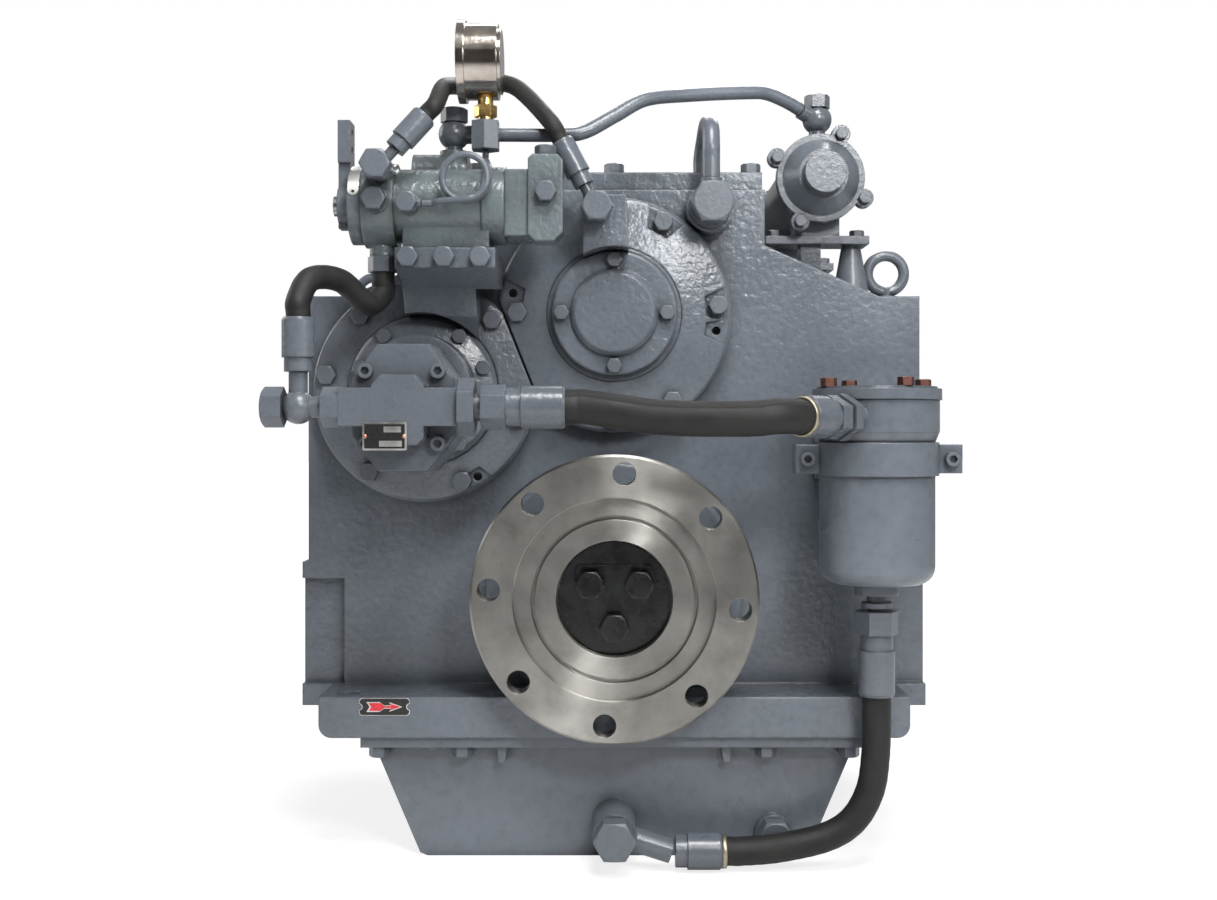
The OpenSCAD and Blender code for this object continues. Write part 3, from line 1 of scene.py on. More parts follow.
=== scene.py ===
import bpy
import numpy as np
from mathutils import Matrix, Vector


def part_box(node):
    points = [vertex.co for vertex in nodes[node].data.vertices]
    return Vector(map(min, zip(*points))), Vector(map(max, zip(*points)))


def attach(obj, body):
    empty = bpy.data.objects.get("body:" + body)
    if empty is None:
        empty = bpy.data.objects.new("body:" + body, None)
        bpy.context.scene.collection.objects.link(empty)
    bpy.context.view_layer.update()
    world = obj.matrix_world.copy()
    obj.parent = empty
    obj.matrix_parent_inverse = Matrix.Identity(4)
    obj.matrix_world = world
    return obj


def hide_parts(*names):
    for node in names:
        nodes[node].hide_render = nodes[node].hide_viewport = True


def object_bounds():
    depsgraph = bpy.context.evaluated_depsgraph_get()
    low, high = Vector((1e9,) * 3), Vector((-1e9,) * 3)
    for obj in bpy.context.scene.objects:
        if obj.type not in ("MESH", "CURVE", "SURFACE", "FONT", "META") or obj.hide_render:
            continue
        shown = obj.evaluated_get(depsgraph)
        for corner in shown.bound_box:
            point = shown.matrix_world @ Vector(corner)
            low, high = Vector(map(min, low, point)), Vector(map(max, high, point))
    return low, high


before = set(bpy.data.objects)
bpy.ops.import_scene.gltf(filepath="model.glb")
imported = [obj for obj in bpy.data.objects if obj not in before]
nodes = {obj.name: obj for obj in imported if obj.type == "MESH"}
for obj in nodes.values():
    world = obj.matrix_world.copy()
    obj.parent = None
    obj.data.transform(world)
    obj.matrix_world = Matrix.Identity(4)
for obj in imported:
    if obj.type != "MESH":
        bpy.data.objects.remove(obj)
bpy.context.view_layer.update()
scene = bpy.context.scene
scene.view_settings.view_transform = "Standard"
print("frame loaded with", len(nodes), "nodes")

# camera where the photograph was taken, looking forward along the shafts
cameraSetup = {"place": (-0.0054, -1.261, 0.1486), "focalPixels": 1400.0, "imageWidth": 1217.0,
               "riseOfCentre": 15.0, "sensor": 36.0, "nearest": 0.02}
camData = bpy.data.cameras.new("photoCamera")
camData.sensor_width = cameraSetup["sensor"]
camData.lens = cameraSetup["sensor"] * cameraSetup["focalPixels"] / cameraSetup["imageWidth"]
camData.shift_y = -cameraSetup["riseOfCentre"] / cameraSetup["imageWidth"]
camData.clip_start = cameraSetup["nearest"]
cam = bpy.data.objects.new("photoCamera", camData)
cam.location = cameraSetup["place"]
cam.rotation_euler = (np.pi / 2, 0, 0)
scene.collection.objects.link(cam)
scene.camera = cam

# node helpers for materials
def startFinish(name):
    mat = bpy.data.materials.new(name)
    mat.use_nodes = True
    tree = mat.node_tree
    shader = next(n for n in tree.nodes if n.type == "BSDF_PRINCIPLED")
    coord = tree.nodes.new("ShaderNodeTexCoord")
    return mat, tree, shader, coord.outputs["Object"]

def noiseAt(tree, place, scale, detail, rough=0.55, stretch=None):
    if stretch is not None:
        turn = tree.nodes.new("ShaderNodeMapping")
        turn.inputs["Scale"].default_value = stretch
        tree.links.new(place, turn.inputs["Vector"])
        place = turn.outputs["Vector"]
    n = tree.nodes.new("ShaderNodeTexNoise")
    n.inputs["Scale"].default_value = scale
    n.inputs["Detail"].default_value = detail
    n.inputs["Roughness"].default_value = rough
    tree.links.new(place, n.inputs["Vector"])
    return n.outputs[0]

def rampOf(tree, value, stops):
    r = tree.nodes.new("ShaderNodeValToRGB")
    r.color_ramp.elements[0].position, r.color_ramp.elements[1].position = stops[0][0], stops[-1][0]
    r.color_ramp.elements[0].color = (*stops[0][1], 1)
    r.color_ramp.elements[1].color = (*stops[-1][1], 1)
    for at, tone in stops[1:-1]:
        r.color_ramp.elements.new(at).color = (*tone, 1)
    tree.links.new(value, r.inputs[0])
    return r.outputs[0]

# black below the low value, white above the high one
def maskOf(tree, value, low, high):
    return rampOf(tree, value, [(low, (0, 0, 0)), (high, (1, 1, 1))])

def mixTone(tree, share, a, b, how="MIX"):
    m = tree.nodes.new("ShaderNodeMix")
    m.data_type = "RGBA"
    m.blend_type = how
    for sock, v in ((m.inputs[0], share), (m.inputs[6], a), (m.inputs[7], b)):
        if isinstance(v, bpy.types.NodeSocket):
            tree.links.new(v, sock)
        elif isinstance(v, (int, float)):
            sock.default_value = v
        else:
            sock.default_value = (*v, 1)
    return m.outputs[2]

def spanOf(tree, value, low, high, fromLow=0.0, fromHigh=1.0):
    m = tree.nodes.new("ShaderNodeMapRange")
    for key, v in (("From Min", fromLow), ("From Max", fromHigh), ("To Min", low), ("To Max", high)):
        m.inputs[key].default_value = v
    tree.links.new(value, m.inputs["Value"])
    return m.outputs["Result"]

def sumOf(tree, a, b, how="ADD"):
    m = tree.nodes.new("ShaderNodeMath")
    m.operation = how
    for sock, v in ((m.inputs[0], a), (m.inputs[1], b)):
        if isinstance(v, bpy.types.NodeSocket):
            tree.links.new(v, sock)
        else:
            sock.default_value = v
    return m.outputs[0]

def bumpOf(tree, height, depth, strength, under=None):
    b = tree.nodes.new("ShaderNodeBump")
    b.inputs["Distance"].default_value = depth
    b.inputs["Strength"].default_value = strength
    tree.links.new(height, b.inputs["Height"])
    if under is not None:
        tree.links.new(under, b.inputs["Normal"])
    return b.outputs[0]

def roundEdges(tree, radius):
    e = tree.nodes.new("ShaderNodeBevel")
    e.samples = 4
    e.inputs["Radius"].default_value = radius
    return e.outputs[0]

def tones(tint, *shares):
    return [tuple(float(c) * s for c in tint) for s in shares]

# blue-grey machinery paint: lumpy sand casting under it with painted shade in the lumps' hollows and painted light on
# their crests, dust on the blotches, painted shade in corners, dark chips, and where a second tone is given, lighter
# patches of painted sheen
paintWear = {"blotch": 7.0, "gritFiner": 3.4, "gritDepth": 0.25, "paintedSheenScale": 19.0, "paintedSheenShare": 0.75,
             "dustScale": 38.0, "dustShare": 0.14, "nookReach": 0.014, "nookShare": 0.8, "paintedCornerShade": (0.3, 0.29, 0.28),
             "chipScale": 210.0, "chipShare": 0.4, "chipTone": (0.05, 0.047, 0.044)}
def paintFinish(name, tint, lump, depth, grit, edge, shine, paintedSheen=None):
    mat, tree, shader, place = startFinish(name)
    wear = paintWear
    wide = noiseAt(tree, place, wear["blotch"], 4.0)
    lumps = noiseAt(tree, place, lump, 3.0, 0.5)
    grits = noiseAt(tree, place, lump * wear["gritFiner"], 2.0, 0.6)
    dark, plain, pale = tones(tint, 0.84, 1.0, 1.14)
    tone = rampOf(tree, wide, [(0.3, dark), (0.5, plain), (0.72, pale)])
    # painted shade and painted light: darker in the lumps' hollows, lighter on their crests, following the same noise
    # as the lump bump
    lumpShading = rampOf(tree, lumps, [(0.24, (0.86, 0.86, 0.86)), (0.5, (1, 1, 1)), (0.8, (1.06, 1.06, 1.06))])
    tone = mixTone(tree, 1.0, tone, lumpShading, "MULTIPLY")
    # painted sheen: lighter greenish patches in noise stand in for a green-tinted highlight
    if paintedSheen is not None:
        paintedSheenPatch = maskOf(tree, noiseAt(tree, place, wear["paintedSheenScale"], 4.0, 0.6), 0.42, 0.66)
        tone = mixTone(tree, sumOf(tree, paintedSheenPatch, wear["paintedSheenShare"], "MULTIPLY"), tone, paintedSheen)
    dust = maskOf(tree, noiseAt(tree, place, wear["dustScale"], 6.0, 0.7), 0.56, 0.74)
    dustTone = tuple(min(1, c * 1.5 + 0.02) for c in tint)
    tone = mixTone(tree, sumOf(tree, dust, wear["dustShare"], "MULTIPLY"), tone, dustTone)
    # painted shade: ambient occlusion darkens the paint in corners, creases and between parts, where shade falls
    nook = tree.nodes.new("ShaderNodeAmbientOcclusion")
    nook.samples = 4
    nook.inputs["Distance"].default_value = wear["nookReach"]
    paintedCornerShade = rampOf(tree, nook.outputs["AO"], [(0.3, wear["paintedCornerShade"]), (0.85, (1, 1, 1))])
    tone = mixTone(tree, wear["nookShare"], tone, paintedCornerShade, "MULTIPLY")
    chip = maskOf(tree, noiseAt(tree, place, wear["chipScale"], 5.0, 0.65), 0.76, 0.79)
    tone = mixTone(tree, sumOf(tree, chip, wear["chipShare"], "MULTIPLY"), tone, wear["chipTone"])
    tree.links.new(tone, shader.inputs["Base Color"])
    tree.links.new(spanOf(tree, wide, shine[0], shine[1], 0.3, 0.7), shader.inputs["Roughness"])
    shader.inputs["Specular IOR Level"].default_value = 0.5
    normal = bumpOf(tree, grits, depth * wear["gritDepth"], grit, roundEdges(tree, edge))
    tree.links.new(bumpOf(tree, lumps, depth, 1.0, normal), shader.inputs["Normal"])
    return mat

# bare turned steel: fine rings round the shaft, light stains, a few rust spots, highlights fanned across the rings
turnedLook = {"cloudScale": 24.0, "spotScale": 55.0, "rustTone": (0.22, 0.11, 0.055), "rough": (0.27, 0.38),
              "ringDepth": 0.00002, "edge": 0.0008, "fan": 0.93, "fanTurn": 0.25}
def turnedFinish(name, tint, ringScale, axis, rust):
    mat, tree, shader, place = startFinish(name)
    look = turnedLook
    split = tree.nodes.new("ShaderNodeSeparateXYZ")
    shiftPlace = tree.nodes.new("ShaderNodeMapping")
    shiftPlace.inputs["Location"].default_value = (-axis[0], 0, -axis[1])
    tree.links.new(place, shiftPlace.inputs["Vector"])
    tree.links.new(shiftPlace.outputs["Vector"], split.inputs[0])
    xx = sumOf(tree, split.outputs["X"], split.outputs["X"], "MULTIPLY")
    zz = sumOf(tree, split.outputs["Z"], split.outputs["Z"], "MULTIPLY")
    away = sumOf(tree, sumOf(tree, xx, zz), 0.5, "POWER")
    ringPlace = tree.nodes.new("ShaderNodeCombineXYZ")
    tree.links.new(away, ringPlace.inputs["X"])
    rings = noiseAt(tree, ringPlace.outputs[0], ringScale, 4.0, 0.7)
    cloud = noiseAt(tree, place, look["cloudScale"], 5.0, 0.6)
    dark, plain, pale = tones(tint, 0.72, 1.0, 1.2)
    tone = rampOf(tree, cloud, [(0.3, dark), (0.5, plain), (0.7, pale)])
    ringTone = rampOf(tree, rings, [(0.3, (0.82, 0.82, 0.82)), (0.7, (1.08, 1.08, 1.08))])
    tone = mixTone(tree, 1.0, tone, ringTone, "MULTIPLY")
    spot = maskOf(tree, noiseAt(tree, place, look["spotScale"], 6.0, 0.7), 0.64, 0.75)
    tone = mixTone(tree, sumOf(tree, spot, rust, "MULTIPLY"), tone, look["rustTone"])
    tree.links.new(tone, shader.inputs["Base Color"])
    shader.inputs["Metallic"].default_value = 1.0
    tree.links.new(spanOf(tree, sumOf(tree, cloud, rings), *look["rough"], 0.7, 1.3), shader.inputs["Roughness"])
    normal = bumpOf(tree, rings, look["ringDepth"], 0.5, roundEdges(tree, look["edge"]))
    tree.links.new(normal, shader.inputs["Normal"])
    shader.inputs["Anisotropic"].default_value = look["fan"]
    shader.inputs["Anisotropic Rotation"].default_value = look["fanTurn"]
    radial = tree.nodes.new("ShaderNodeTangent")
    radial.direction_type, radial.axis = "RADIAL", "Y"
    tree.links.new(radial.outputs[0], shader.inputs["Tangent"])
    return mat

# plain metal with a patina: blackened, plated, brass, rusty or chromed
metalWear = {"cloudScale": 42.0, "fineness": 4, "fineDepth": 0.00008}
def metalFinish(name, tint, stain, rough, share, edge=0.0008, speck=180.0):
    mat, tree, shader, place = startFinish(name)
    cloud = noiseAt(tree, place, metalWear["cloudScale"], 5.0, 0.6)
    fine = noiseAt(tree, place, speck * metalWear["fineness"], 3.0, 0.6)
    dark, plain, pale = tones(tint, 0.7, 1.0, 1.18)
    tone = rampOf(tree, cloud, [(0.3, dark), (0.5, plain), (0.72, pale)])
    mark = maskOf(tree, noiseAt(tree, place, speck, 6.0, 0.68), 0.5, 0.68)
    tone = mixTone(tree, sumOf(tree, mark, share, "MULTIPLY"), tone, stain)
    tree.links.new(tone, shader.inputs["Base Color"])
    shader.inputs["Metallic"].default_value = 1.0
    tree.links.new(spanOf(tree, cloud, rough[0], rough[1], 0.3, 0.7), shader.inputs["Roughness"])
    normal = bumpOf(tree, fine, metalWear["fineDepth"], 0.5, roundEdges(tree, edge))
    tree.links.new(normal, shader.inputs["Normal"])
    return mat

# hose cover: wrapped cloth marks run along the hose from its own uv, grey dust on top
hoseLook = {"weave": (900.0, 14.0, 1.0), "wrap": (70.0, 1.0, 1.0), "cloudScale": 30.0, "rough": (0.45, 0.7),
            "gloss": 0.32, "weaveDepth": 0.0004, "wrapDepth": 0.0006}
def hoseFinish(name, tint, dustTone):
    mat, tree, shader, place = startFinish(name)
    lay = tree.nodes.new("ShaderNodeTexCoord").outputs["UV"]
    weave = noiseAt(tree, lay, 1.0, 2.0, 0.5, hoseLook["weave"])
    wrap = noiseAt(tree, lay, 1.0, 1.0, 0.5, hoseLook["wrap"])
    cloud = noiseAt(tree, place, hoseLook["cloudScale"], 6.0, 0.65)
    dark, plain = tones(tint, 0.75, 1.25)
    tone = rampOf(tree, weave, [(0.3, dark), (0.7, plain)])
    dust = rampOf(tree, cloud, [(0.42, (0, 0, 0)), (0.75, (0.55, 0.55, 0.55))])
    tree.links.new(mixTone(tree, dust, tone, dustTone), shader.inputs["Base Color"])
    tree.links.new(spanOf(tree, cloud, *hoseLook["rough"], 0.3, 0.7), shader.inputs["Roughness"])
    shader.inputs["Specular IOR Level"].default_value = hoseLook["gloss"]
    normal = bumpOf(tree, weave, hoseLook["weaveDepth"], 0.7)
    tree.links.new(bumpOf(tree, wrap, hoseLook["wrapDepth"], 0.6, normal), shader.inputs["Normal"])
    return mat

# rubber, paper, dial paint: one cloudy colour with a fine grain
def softFinish(name, tint, rough, scale):
    mat, tree, shader, place = startFinish(name)
    cloud = noiseAt(tree, place, scale, 4.0, 0.6)
    dark, pale = tones(tint, 0.75, 1.2)
    tree.links.new(rampOf(tree, cloud, [(0.3, dark), (0.7, pale)]), shader.inputs["Base Color"])
    tree.links.new(spanOf(tree, cloud, rough - 0.1, rough + 0.1, 0.3, 0.7), shader.inputs["Roughness"])
    tree.links.new(bumpOf(tree, cloud, 0.0002, 0.6), shader.inputs["Normal"])
    return mat

# clear glass with faint smears
def glassFinish(name):
    mat, tree, shader, place = startFinish(name)
    smear = noiseAt(tree, place, 90.0, 4.0, 0.6)
    shader.inputs["Base Color"].default_value = (0.92, 0.95, 0.95, 1)
    shader.inputs["Transmission Weight"].default_value = 1.0
    shader.inputs["IOR"].default_value = 1.45
    tree.links.new(spanOf(tree, smear, 0.02, 0.12, 0.35, 0.75), shader.inputs["Roughness"])
    return mat

paintTint = (0.112, 0.126, 0.147)
# tint, lump scale, lump depth, grit strength, edge radius, roughness from and to, then a painted sheen tone if any
paintLooks = {
    "castPaint": (paintTint, 150.0, 0.0006, 0.8, 0.003, (0.17, 0.3)),
    "capPaint": (paintTint, 190.0, 0.0007, 0.8, 0.003, (0.16, 0.28)),
    "smoothPaint": (tones(paintTint, 0.98)[0], 110.0, 0.0004, 0.5, 0.002, (0.2, 0.34)),
    # fittings and pipes: the same paint made darker, painted shade to offset the lamps' light on the pipes
    "fittingPaint": (tones(paintTint, 0.88)[0], 240.0, 0.00026, 0.5, 0.0014, (0.22, 0.36)),
    "boltPaint": (tones(paintTint, 0.86)[0], 300.0, 0.0003, 0.5, 0.001, (0.3, 0.45)),
    # valve: a greener grey with lighter patches of painted sheen
    "valvePaint": ((0.104, 0.12, 0.131), 190.0, 0.0008, 0.8, 0.003, (0.17, 0.3), (0.117, 0.148, 0.15)),
}
# tint, stain, roughness from and to, stain share, edge radius, speck scale
metalLooks = {
    "innerSteel": ((0.42, 0.42, 0.42), (0.2, 0.17, 0.13), (0.22, 0.4), 0.4),
    "keeperSteel": ((0.04, 0.041, 0.042), (0.075, 0.07, 0.062), (0.2, 0.38), 0.3),
    "chrome": ((0.44, 0.4, 0.355), (0.33, 0.28, 0.23), (0.11, 0.2), 0.3, 0.0008, 90.0),
    "brass": ((0.6, 0.4, 0.15), (0.3, 0.18, 0.07), (0.22, 0.4), 0.5, 0.0006),
    "paleBrass": ((0.4, 0.36, 0.275), (0.22, 0.185, 0.135), (0.38, 0.55), 0.6, 0.0006),
    "rustyHead": ((0.15, 0.072, 0.058), (0.075, 0.036, 0.03), (0.45, 0.7), 0.7, 0.0006),
    "frictionFace": ((0.24, 0.19, 0.14), (0.1, 0.08, 0.06), (0.45, 0.65), 0.6),
    "plateSilver": ((0.72, 0.72, 0.7), (0.5, 0.48, 0.42), (0.25, 0.4), 0.4, 0.0003),
    "rivetCopper": ((0.62, 0.3, 0.2), (0.3, 0.12, 0.08), (0.25, 0.4), 0.4, 0.0003),
}
# tint, roughness, grain scale
softLooks = {
    "sealRubber": ((0.02, 0.02, 0.02), 0.6, 260.0),
    "pointerBlack": ((0.02, 0.02, 0.02), 0.5, 300.0),
    "filterPaper": ((0.45, 0.36, 0.2), 0.8, 400.0),
    "plateBlack": ((0.012, 0.011, 0.011), 0.35, 500.0),
    "arrowRed": ((0.6, 0.03, 0.04), 0.35, 300.0),
    "dialWhite": ((0.8, 0.8, 0.77), 0.45, 120.0),
}
finishes = {name: paintFinish(name, *look) for name, look in paintLooks.items()}
finishes.update({name: metalFinish(name, *look) for name, look in metalLooks.items()})
finishes.update({name: softFinish(name, *look) for name, look in softLooks.items()})
finishes["flangeSteel"] = turnedFinish("flangeSteel", (0.31, 0.3, 0.28), 1400.0, (0.0, 0.0), 0.5)
finishes["hoseCover"] = hoseFinish("hoseCover", (0.009, 0.0095, 0.009), (0.03, 0.031, 0.027))
finishes["gaugeGlass"] = glassFinish("gaugeGlass")
print("finishes made:", len(finishes))

finishOfNode = {
    "castPaint": "casing front_plate top_cover",
    "capPaint": "input_cover reverse_cover output_cover input_end_cap pump_adapter pump_body",
    "smoothPaint": "oil_sump filter_head filter_lid filter_bowl filter_clamp",
    "fittingPaint": "pump_cover control_lever cooler_shell cooler_end_caps cooler_bracket lifting_eyes "
                    "hose_unions hose_ferrules steel_pipes gauge_tube",
    "boltPaint": "hex_bolts banjo_bolts socket_screws",
    "valvePaint": "valve_body valve_end_covers",
    "flangeSteel": "output_flange",
    "innerSteel": "shaft_bearings input_shaft input_drum reverse_shaft reverse_drum pump_drive_gear "
                  "pump_driven_gear output_shaft output_gear ahead_pinion astern_pinion ahead_piston "
                  "astern_piston valve_spool input_coupling",
    "keeperSteel": "keeper_plate shaft_end_bolts",
    "chrome": "gauge_case", "brass": "gauge_stem", "rustyHead": "filter_lid_bolts",
    "hoseCover": "suction_hose sump_hose pressure_hose lube_hose",
    "sealRubber": "shaft_seals", "pointerBlack": "gauge_pointer", "filterPaper": "filter_element",
    "frictionFace": "ahead_plates astern_plates", "gaugeGlass": "gauge_glass",
}
for finish, names in finishOfNode.items():
    for name in names.split():
        mesh = nodes[name].data
        mesh.materials.clear()
        mesh.materials.append(finishes[finish])
dressed = {n for names in finishOfNode.values() for n in names.split()}
print("nodes without a finish:", sorted(set(nodes) - dressed))

# numpy surfaces, worked out in millimetres
metre = 1000.0
def unit(way):
    # a direction over its own length
    way = np.array(way, float)
    return way / np.linalg.norm(way)

def circle(around):
    # evenly spaced angles of one full turn
    return np.linspace(0, 2 * np.pi, around, endpoint=False)

def gridMesh(name, points, finish, body, ringRows=False, uv=None, smooth=True):
    # points is rows by columns by 3: quads join neighbouring rows and columns, and the columns close round
    # the rows close round too or end in a flat face each, and a negative volume turns all faces round
    rows, cols = points.shape[:2]
    index = np.arange(rows * cols).reshape(rows, cols)
    ends = [] if ringRows else [index[0, ::-1], index[-1]]
    index = np.hstack([index, index[:, :1]])
    if ringRows:
        index = np.vstack([index, index[:1]])
    quads = np.stack([index[:-1, :-1], index[:-1, 1:], index[1:, 1:], index[1:, :-1]], -1).reshape(-1, 4)
    verts = points.reshape(-1, 3)
    fromFirst = verts - verts[0]
    volume = 0.0  # six times the signed volume, from fans of triangles
    for faces in (quads, *(end[None] for end in ends)):
        fan = fromFirst[faces]
        volume += np.sum(np.cross(fan[:, 1:-1], fan[:, 2:]) * fan[:, :1])
    faceList = quads.tolist() + [end.tolist() for end in ends]
    if volume < 0:
        faceList = [face[::-1] for face in faceList]
    mesh = bpy.data.meshes.new(name)
    mesh.from_pydata(verts.tolist(), [], faceList)
    if uv is not None:
        at = np.zeros(len(mesh.loops), np.int32)
        mesh.loops.foreach_get("vertex_index", at)
        flat = uv.reshape(-1, 2)[at].astype(np.float32)
        mesh.uv_layers.new(name="along").data.foreach_set("uv", flat.ravel())
    mesh.polygons.foreach_set("use_smooth", np.full(len(mesh.polygons), smooth))
    mesh.materials.append(finishes[finish])
    mesh.update()
    obj = bpy.data.objects.new(name, mesh)
    scene.collection.objects.link(obj)
    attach(obj, body)
    return obj

# smooth curve through given points: each span is the cubic set by its two neighbours
def smoothRoute(points, perSpan):
    p = np.asarray(points, float)
    p = np.vstack([p[:1], p, p[-1:]])
    t = np.linspace(0, 1, perSpan, endpoint=False)[None, :, None]
    a, b, c, d = (p[k:len(p) - 3 + k][:, None, :] for k in range(4))
    square, cube = 2 * a - 5 * b + 4 * c - d, 3 * b - a - 3 * c + d
    curve = 0.5 * (2 * b + (c - a) * t + square * t ** 2 + cube * t ** 3)
    return np.vstack([curve.reshape(-1, 3), p[-1:]])

# frames that turn as little as possible: each side is the last one with its part along the path taken out
def framesAlong(path):
    step = np.gradient(path, axis=0)
    along = step / np.linalg.norm(step, axis=1)[:, None]
    side = np.zeros_like(along)
    side[0] = unit(np.cross(along[0], (0.31, 0.52, 0.79)))
    for k in range(1, len(path)):
        side[k] = unit(side[k - 1] - along[k] * (side[k - 1] @ along[k]))
    return side, np.cross(along, side)

# a circle carried along a path; ripple scales its radius by the distance along and the angle round
def sweptTube(name, route, radius, finish, body, perSpan, around, ripple=None):
    path = smoothRoute(np.asarray(route) / metre, perSpan)
    side, up = framesAlong(path)
    far = np.concatenate([[0], np.cumsum(np.linalg.norm(np.diff(path, axis=0), axis=1))])
    angle = circle(around)
    r = radius / metre * np.ones((len(path), around))
    if ripple is not None:
        r = r * ripple(far[:, None], angle[None, :])
    ring = np.cos(angle)[None, :, None] * side[:, None] + np.sin(angle)[None, :, None] * up[:, None]
    points = path[:, None] + r[..., None] * ring
    uv = np.stack(np.broadcast_arrays(far[:, None], angle[None, :]), -1)
    return gridMesh(name, points, finish, body, uv=uv)

# hoses, on the same listed points as the solids
gaugeMid = np.array((-122.0, 10.0, 487.0))
lubeEnds = {"valveEye": np.array((-207.0, -37.0, 383.0)), "valveWay": unit((0.62, 0.12, 0.72)),
            "coverEye": np.array((-16.0, 26.0, 357.0)), "coverWay": unit((-0.47, 0.0, 0.88))}
hosePoints = {
    "suctionHose": {"node": "suction_hose", "radius": 15.0, "route": [
        (-85, -76, 172.2), (-40, -76, 172.2), (-24, -76, 172.2), (40, -88.9, 163.2), (108.4, -101.7, 162),
        (132.9, -101.7, 164), (153.1, -89, 164), (164.5, -77.7, 164), (177.9, -64.2, 164)]},
    "sumpHose": {"node": "sump_hose", "radius": 13.0, "route": [
        (238, 10, -39), (238, 10, -90), (238, 10, -106), (237, 10, -142), (232, 10, -174), (217, 11, -201),
        (192, 12, -217), (150, 13, -227), (115.4, 13, -230), (99.4, 13, -230), (62.4, 13, -230)]},
    "pressureHose": {"node": "pressure_hose", "radius": 10.5, "route": [
        (-268, -76, 209.2), (-268, -76, 250.2), (-268, -76, 262.2), (-260, -62, 282.2), (-241, -30, 284.2),
        (-221, -7, 266), (-210, 10, 278), (-210, 10, 288), (-210, 10, 295.8)]},
    "lubeHose": {"node": "lube_hose", "radius": 8.0, "route": np.vstack([
        [lubeEnds["valveEye"] + k * lubeEnds["valveWay"] for k in (29, 64, 76)],
        gaugeMid + [(-33, -8, -26), (-30, 30, -14), (-16, 56, -8), (6, 58, -4), (26, 49, -9), (43, 34, -25)],
        [lubeEnds["coverEye"] + k * lubeEnds["coverWay"] for k in (88, 72, 31)]])},
}
hoseWrap = {"share": 0.006, "pitch": 0.011, "perSpan": 14, "around": 40}
def clothRipple(far, angle):
    # wrapped cloth leaves a slow spiral ridge: a sine of the distance over the pitch plus the angle
    return 1 - hoseWrap["share"] + hoseWrap["share"] * np.sin(2 * np.pi * far / hoseWrap["pitch"] + angle)

for name, hose in hosePoints.items():
    piece = sweptTube(name, hose["route"], hose["radius"], "hoseCover", "housing",
                      hoseWrap["perSpan"], hoseWrap["around"], clothRipple)
    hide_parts(hose["node"])
print("hoses made:", len(hosePoints))

# steel pipes and the gauge's coiled tube
pipeEnds = {"valveBall": np.array((-149.0, 42.0, 428.0)), "coolerBall": np.array((202.0, 132.0, 462.0)),
            "coolerWay": unit((-0.85, -0.34, 0.4)), "returnEye": np.array((92.0, 68.0, 366.0)),
            "gaugeEye": np.array((-182.0, -31.5, 352.0))}
coil = {"middle": (-131, -30, 374), "radius": 20, "degreesPerMm": 36}
coilTurn = np.radians(np.arange(0, 451, 30))
coilRing = np.column_stack([coil["middle"][0] + coil["radius"] * np.cos(coilTurn),
                            coil["middle"][1] - np.degrees(coilTurn) / coil["degreesPerMm"],
                            coil["middle"][2] - coil["radius"] * np.sin(coilTurn)])
pipes = {
    "coolerPipe": {"node": "steel_pipes", "radius": 6.5, "perSpan": 12, "around": 28, "route": np.vstack([
        [pipeEnds["valveBall"] + (k, 0, 0) for k in (20.1, 50, 100)],
        pipeEnds["valveBall"] + [(122, 1, 3), (150, 10, 20), (179, 22, 38), (219, 42, 47)],
        pipeEnds["coolerBall"] + [(-72, -30, 20), (-52, -21, 21), (-32, -13, 15)],
        [pipeEnds["coolerBall"] + 20.1 * pipeEnds["coolerWay"]]])},
    "returnPipe": {"node": "steel_pipes", "radius": 8.5, "perSpan": 12, "around": 28, "route": np.vstack([
        [pipeEnds["returnEye"] + (0, 0, k) for k in (26.1, 45, 58)],
        pipeEnds["returnEye"] + [(0, 8, 75), (-1, 30, 84), (-2, 60, 75)],
        [(88, 139, 388 + z) for z in (36, 22, 8)]])},
    "gaugeCoil": {"node": "gauge_tube", "radius": 3.0, "perSpan": 6, "around": 18, "route": np.vstack([
        [(-117, 10, 407 - k) for k in (0.2, 4, 8)],
        [(-114, -8, 392), (-111, -24, 384)],
        coilRing,
        pipeEnds["gaugeEye"] + [(30, -6, 1), (23, -0.5, 0), (18, 0, 0), (12.5, 0, 0)]])},
}
for name, pipe in pipes.items():
    piece = sweptTube(name, pipe["route"], pipe["radius"], "fittingPaint", "housing", pipe["perSpan"], pipe["around"])
    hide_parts(pipe["node"])
print("pipes made:", len(pipes))

# dished casting between a shaft's boss and the bolt circle, on the flat face of its cover
# inner and outer are radius and depth, seats are angle and half width, chord is distance and angle
dishes = {
    "inputDish": {"axis": (0.0, 264.0), "inner": (64.6, 73.6), "outer": (111.0, 80.6), "base": 81.2,
                  "seatRadius": 88.0, "seats": {5: 6, -9: 4, 62: 6.5, 168: 4}, "chord": (96.9, -158.21)},
    "reverseDish": {"axis": (-182.0, 191.238), "inner": (71.5, 76.5), "outer": (105.0, 80.6), "base": 81.2,
                    "seatRadius": 90.0, "seats": {122: 4, 302: 4}, "chord": (96.9, 21.79)},
    "adapterDish": {"axis": (-182.0, 191.238), "inner": (50.2, 61.8), "outer": (68.0, 66.6), "base": 67.2,
                    "seatRadius": 52.5, "seats": {}, "chord": None},
}
dishEdges = {"fade": 0.6, "leastFacing": 0.2, "sharpFrom": 0.5}
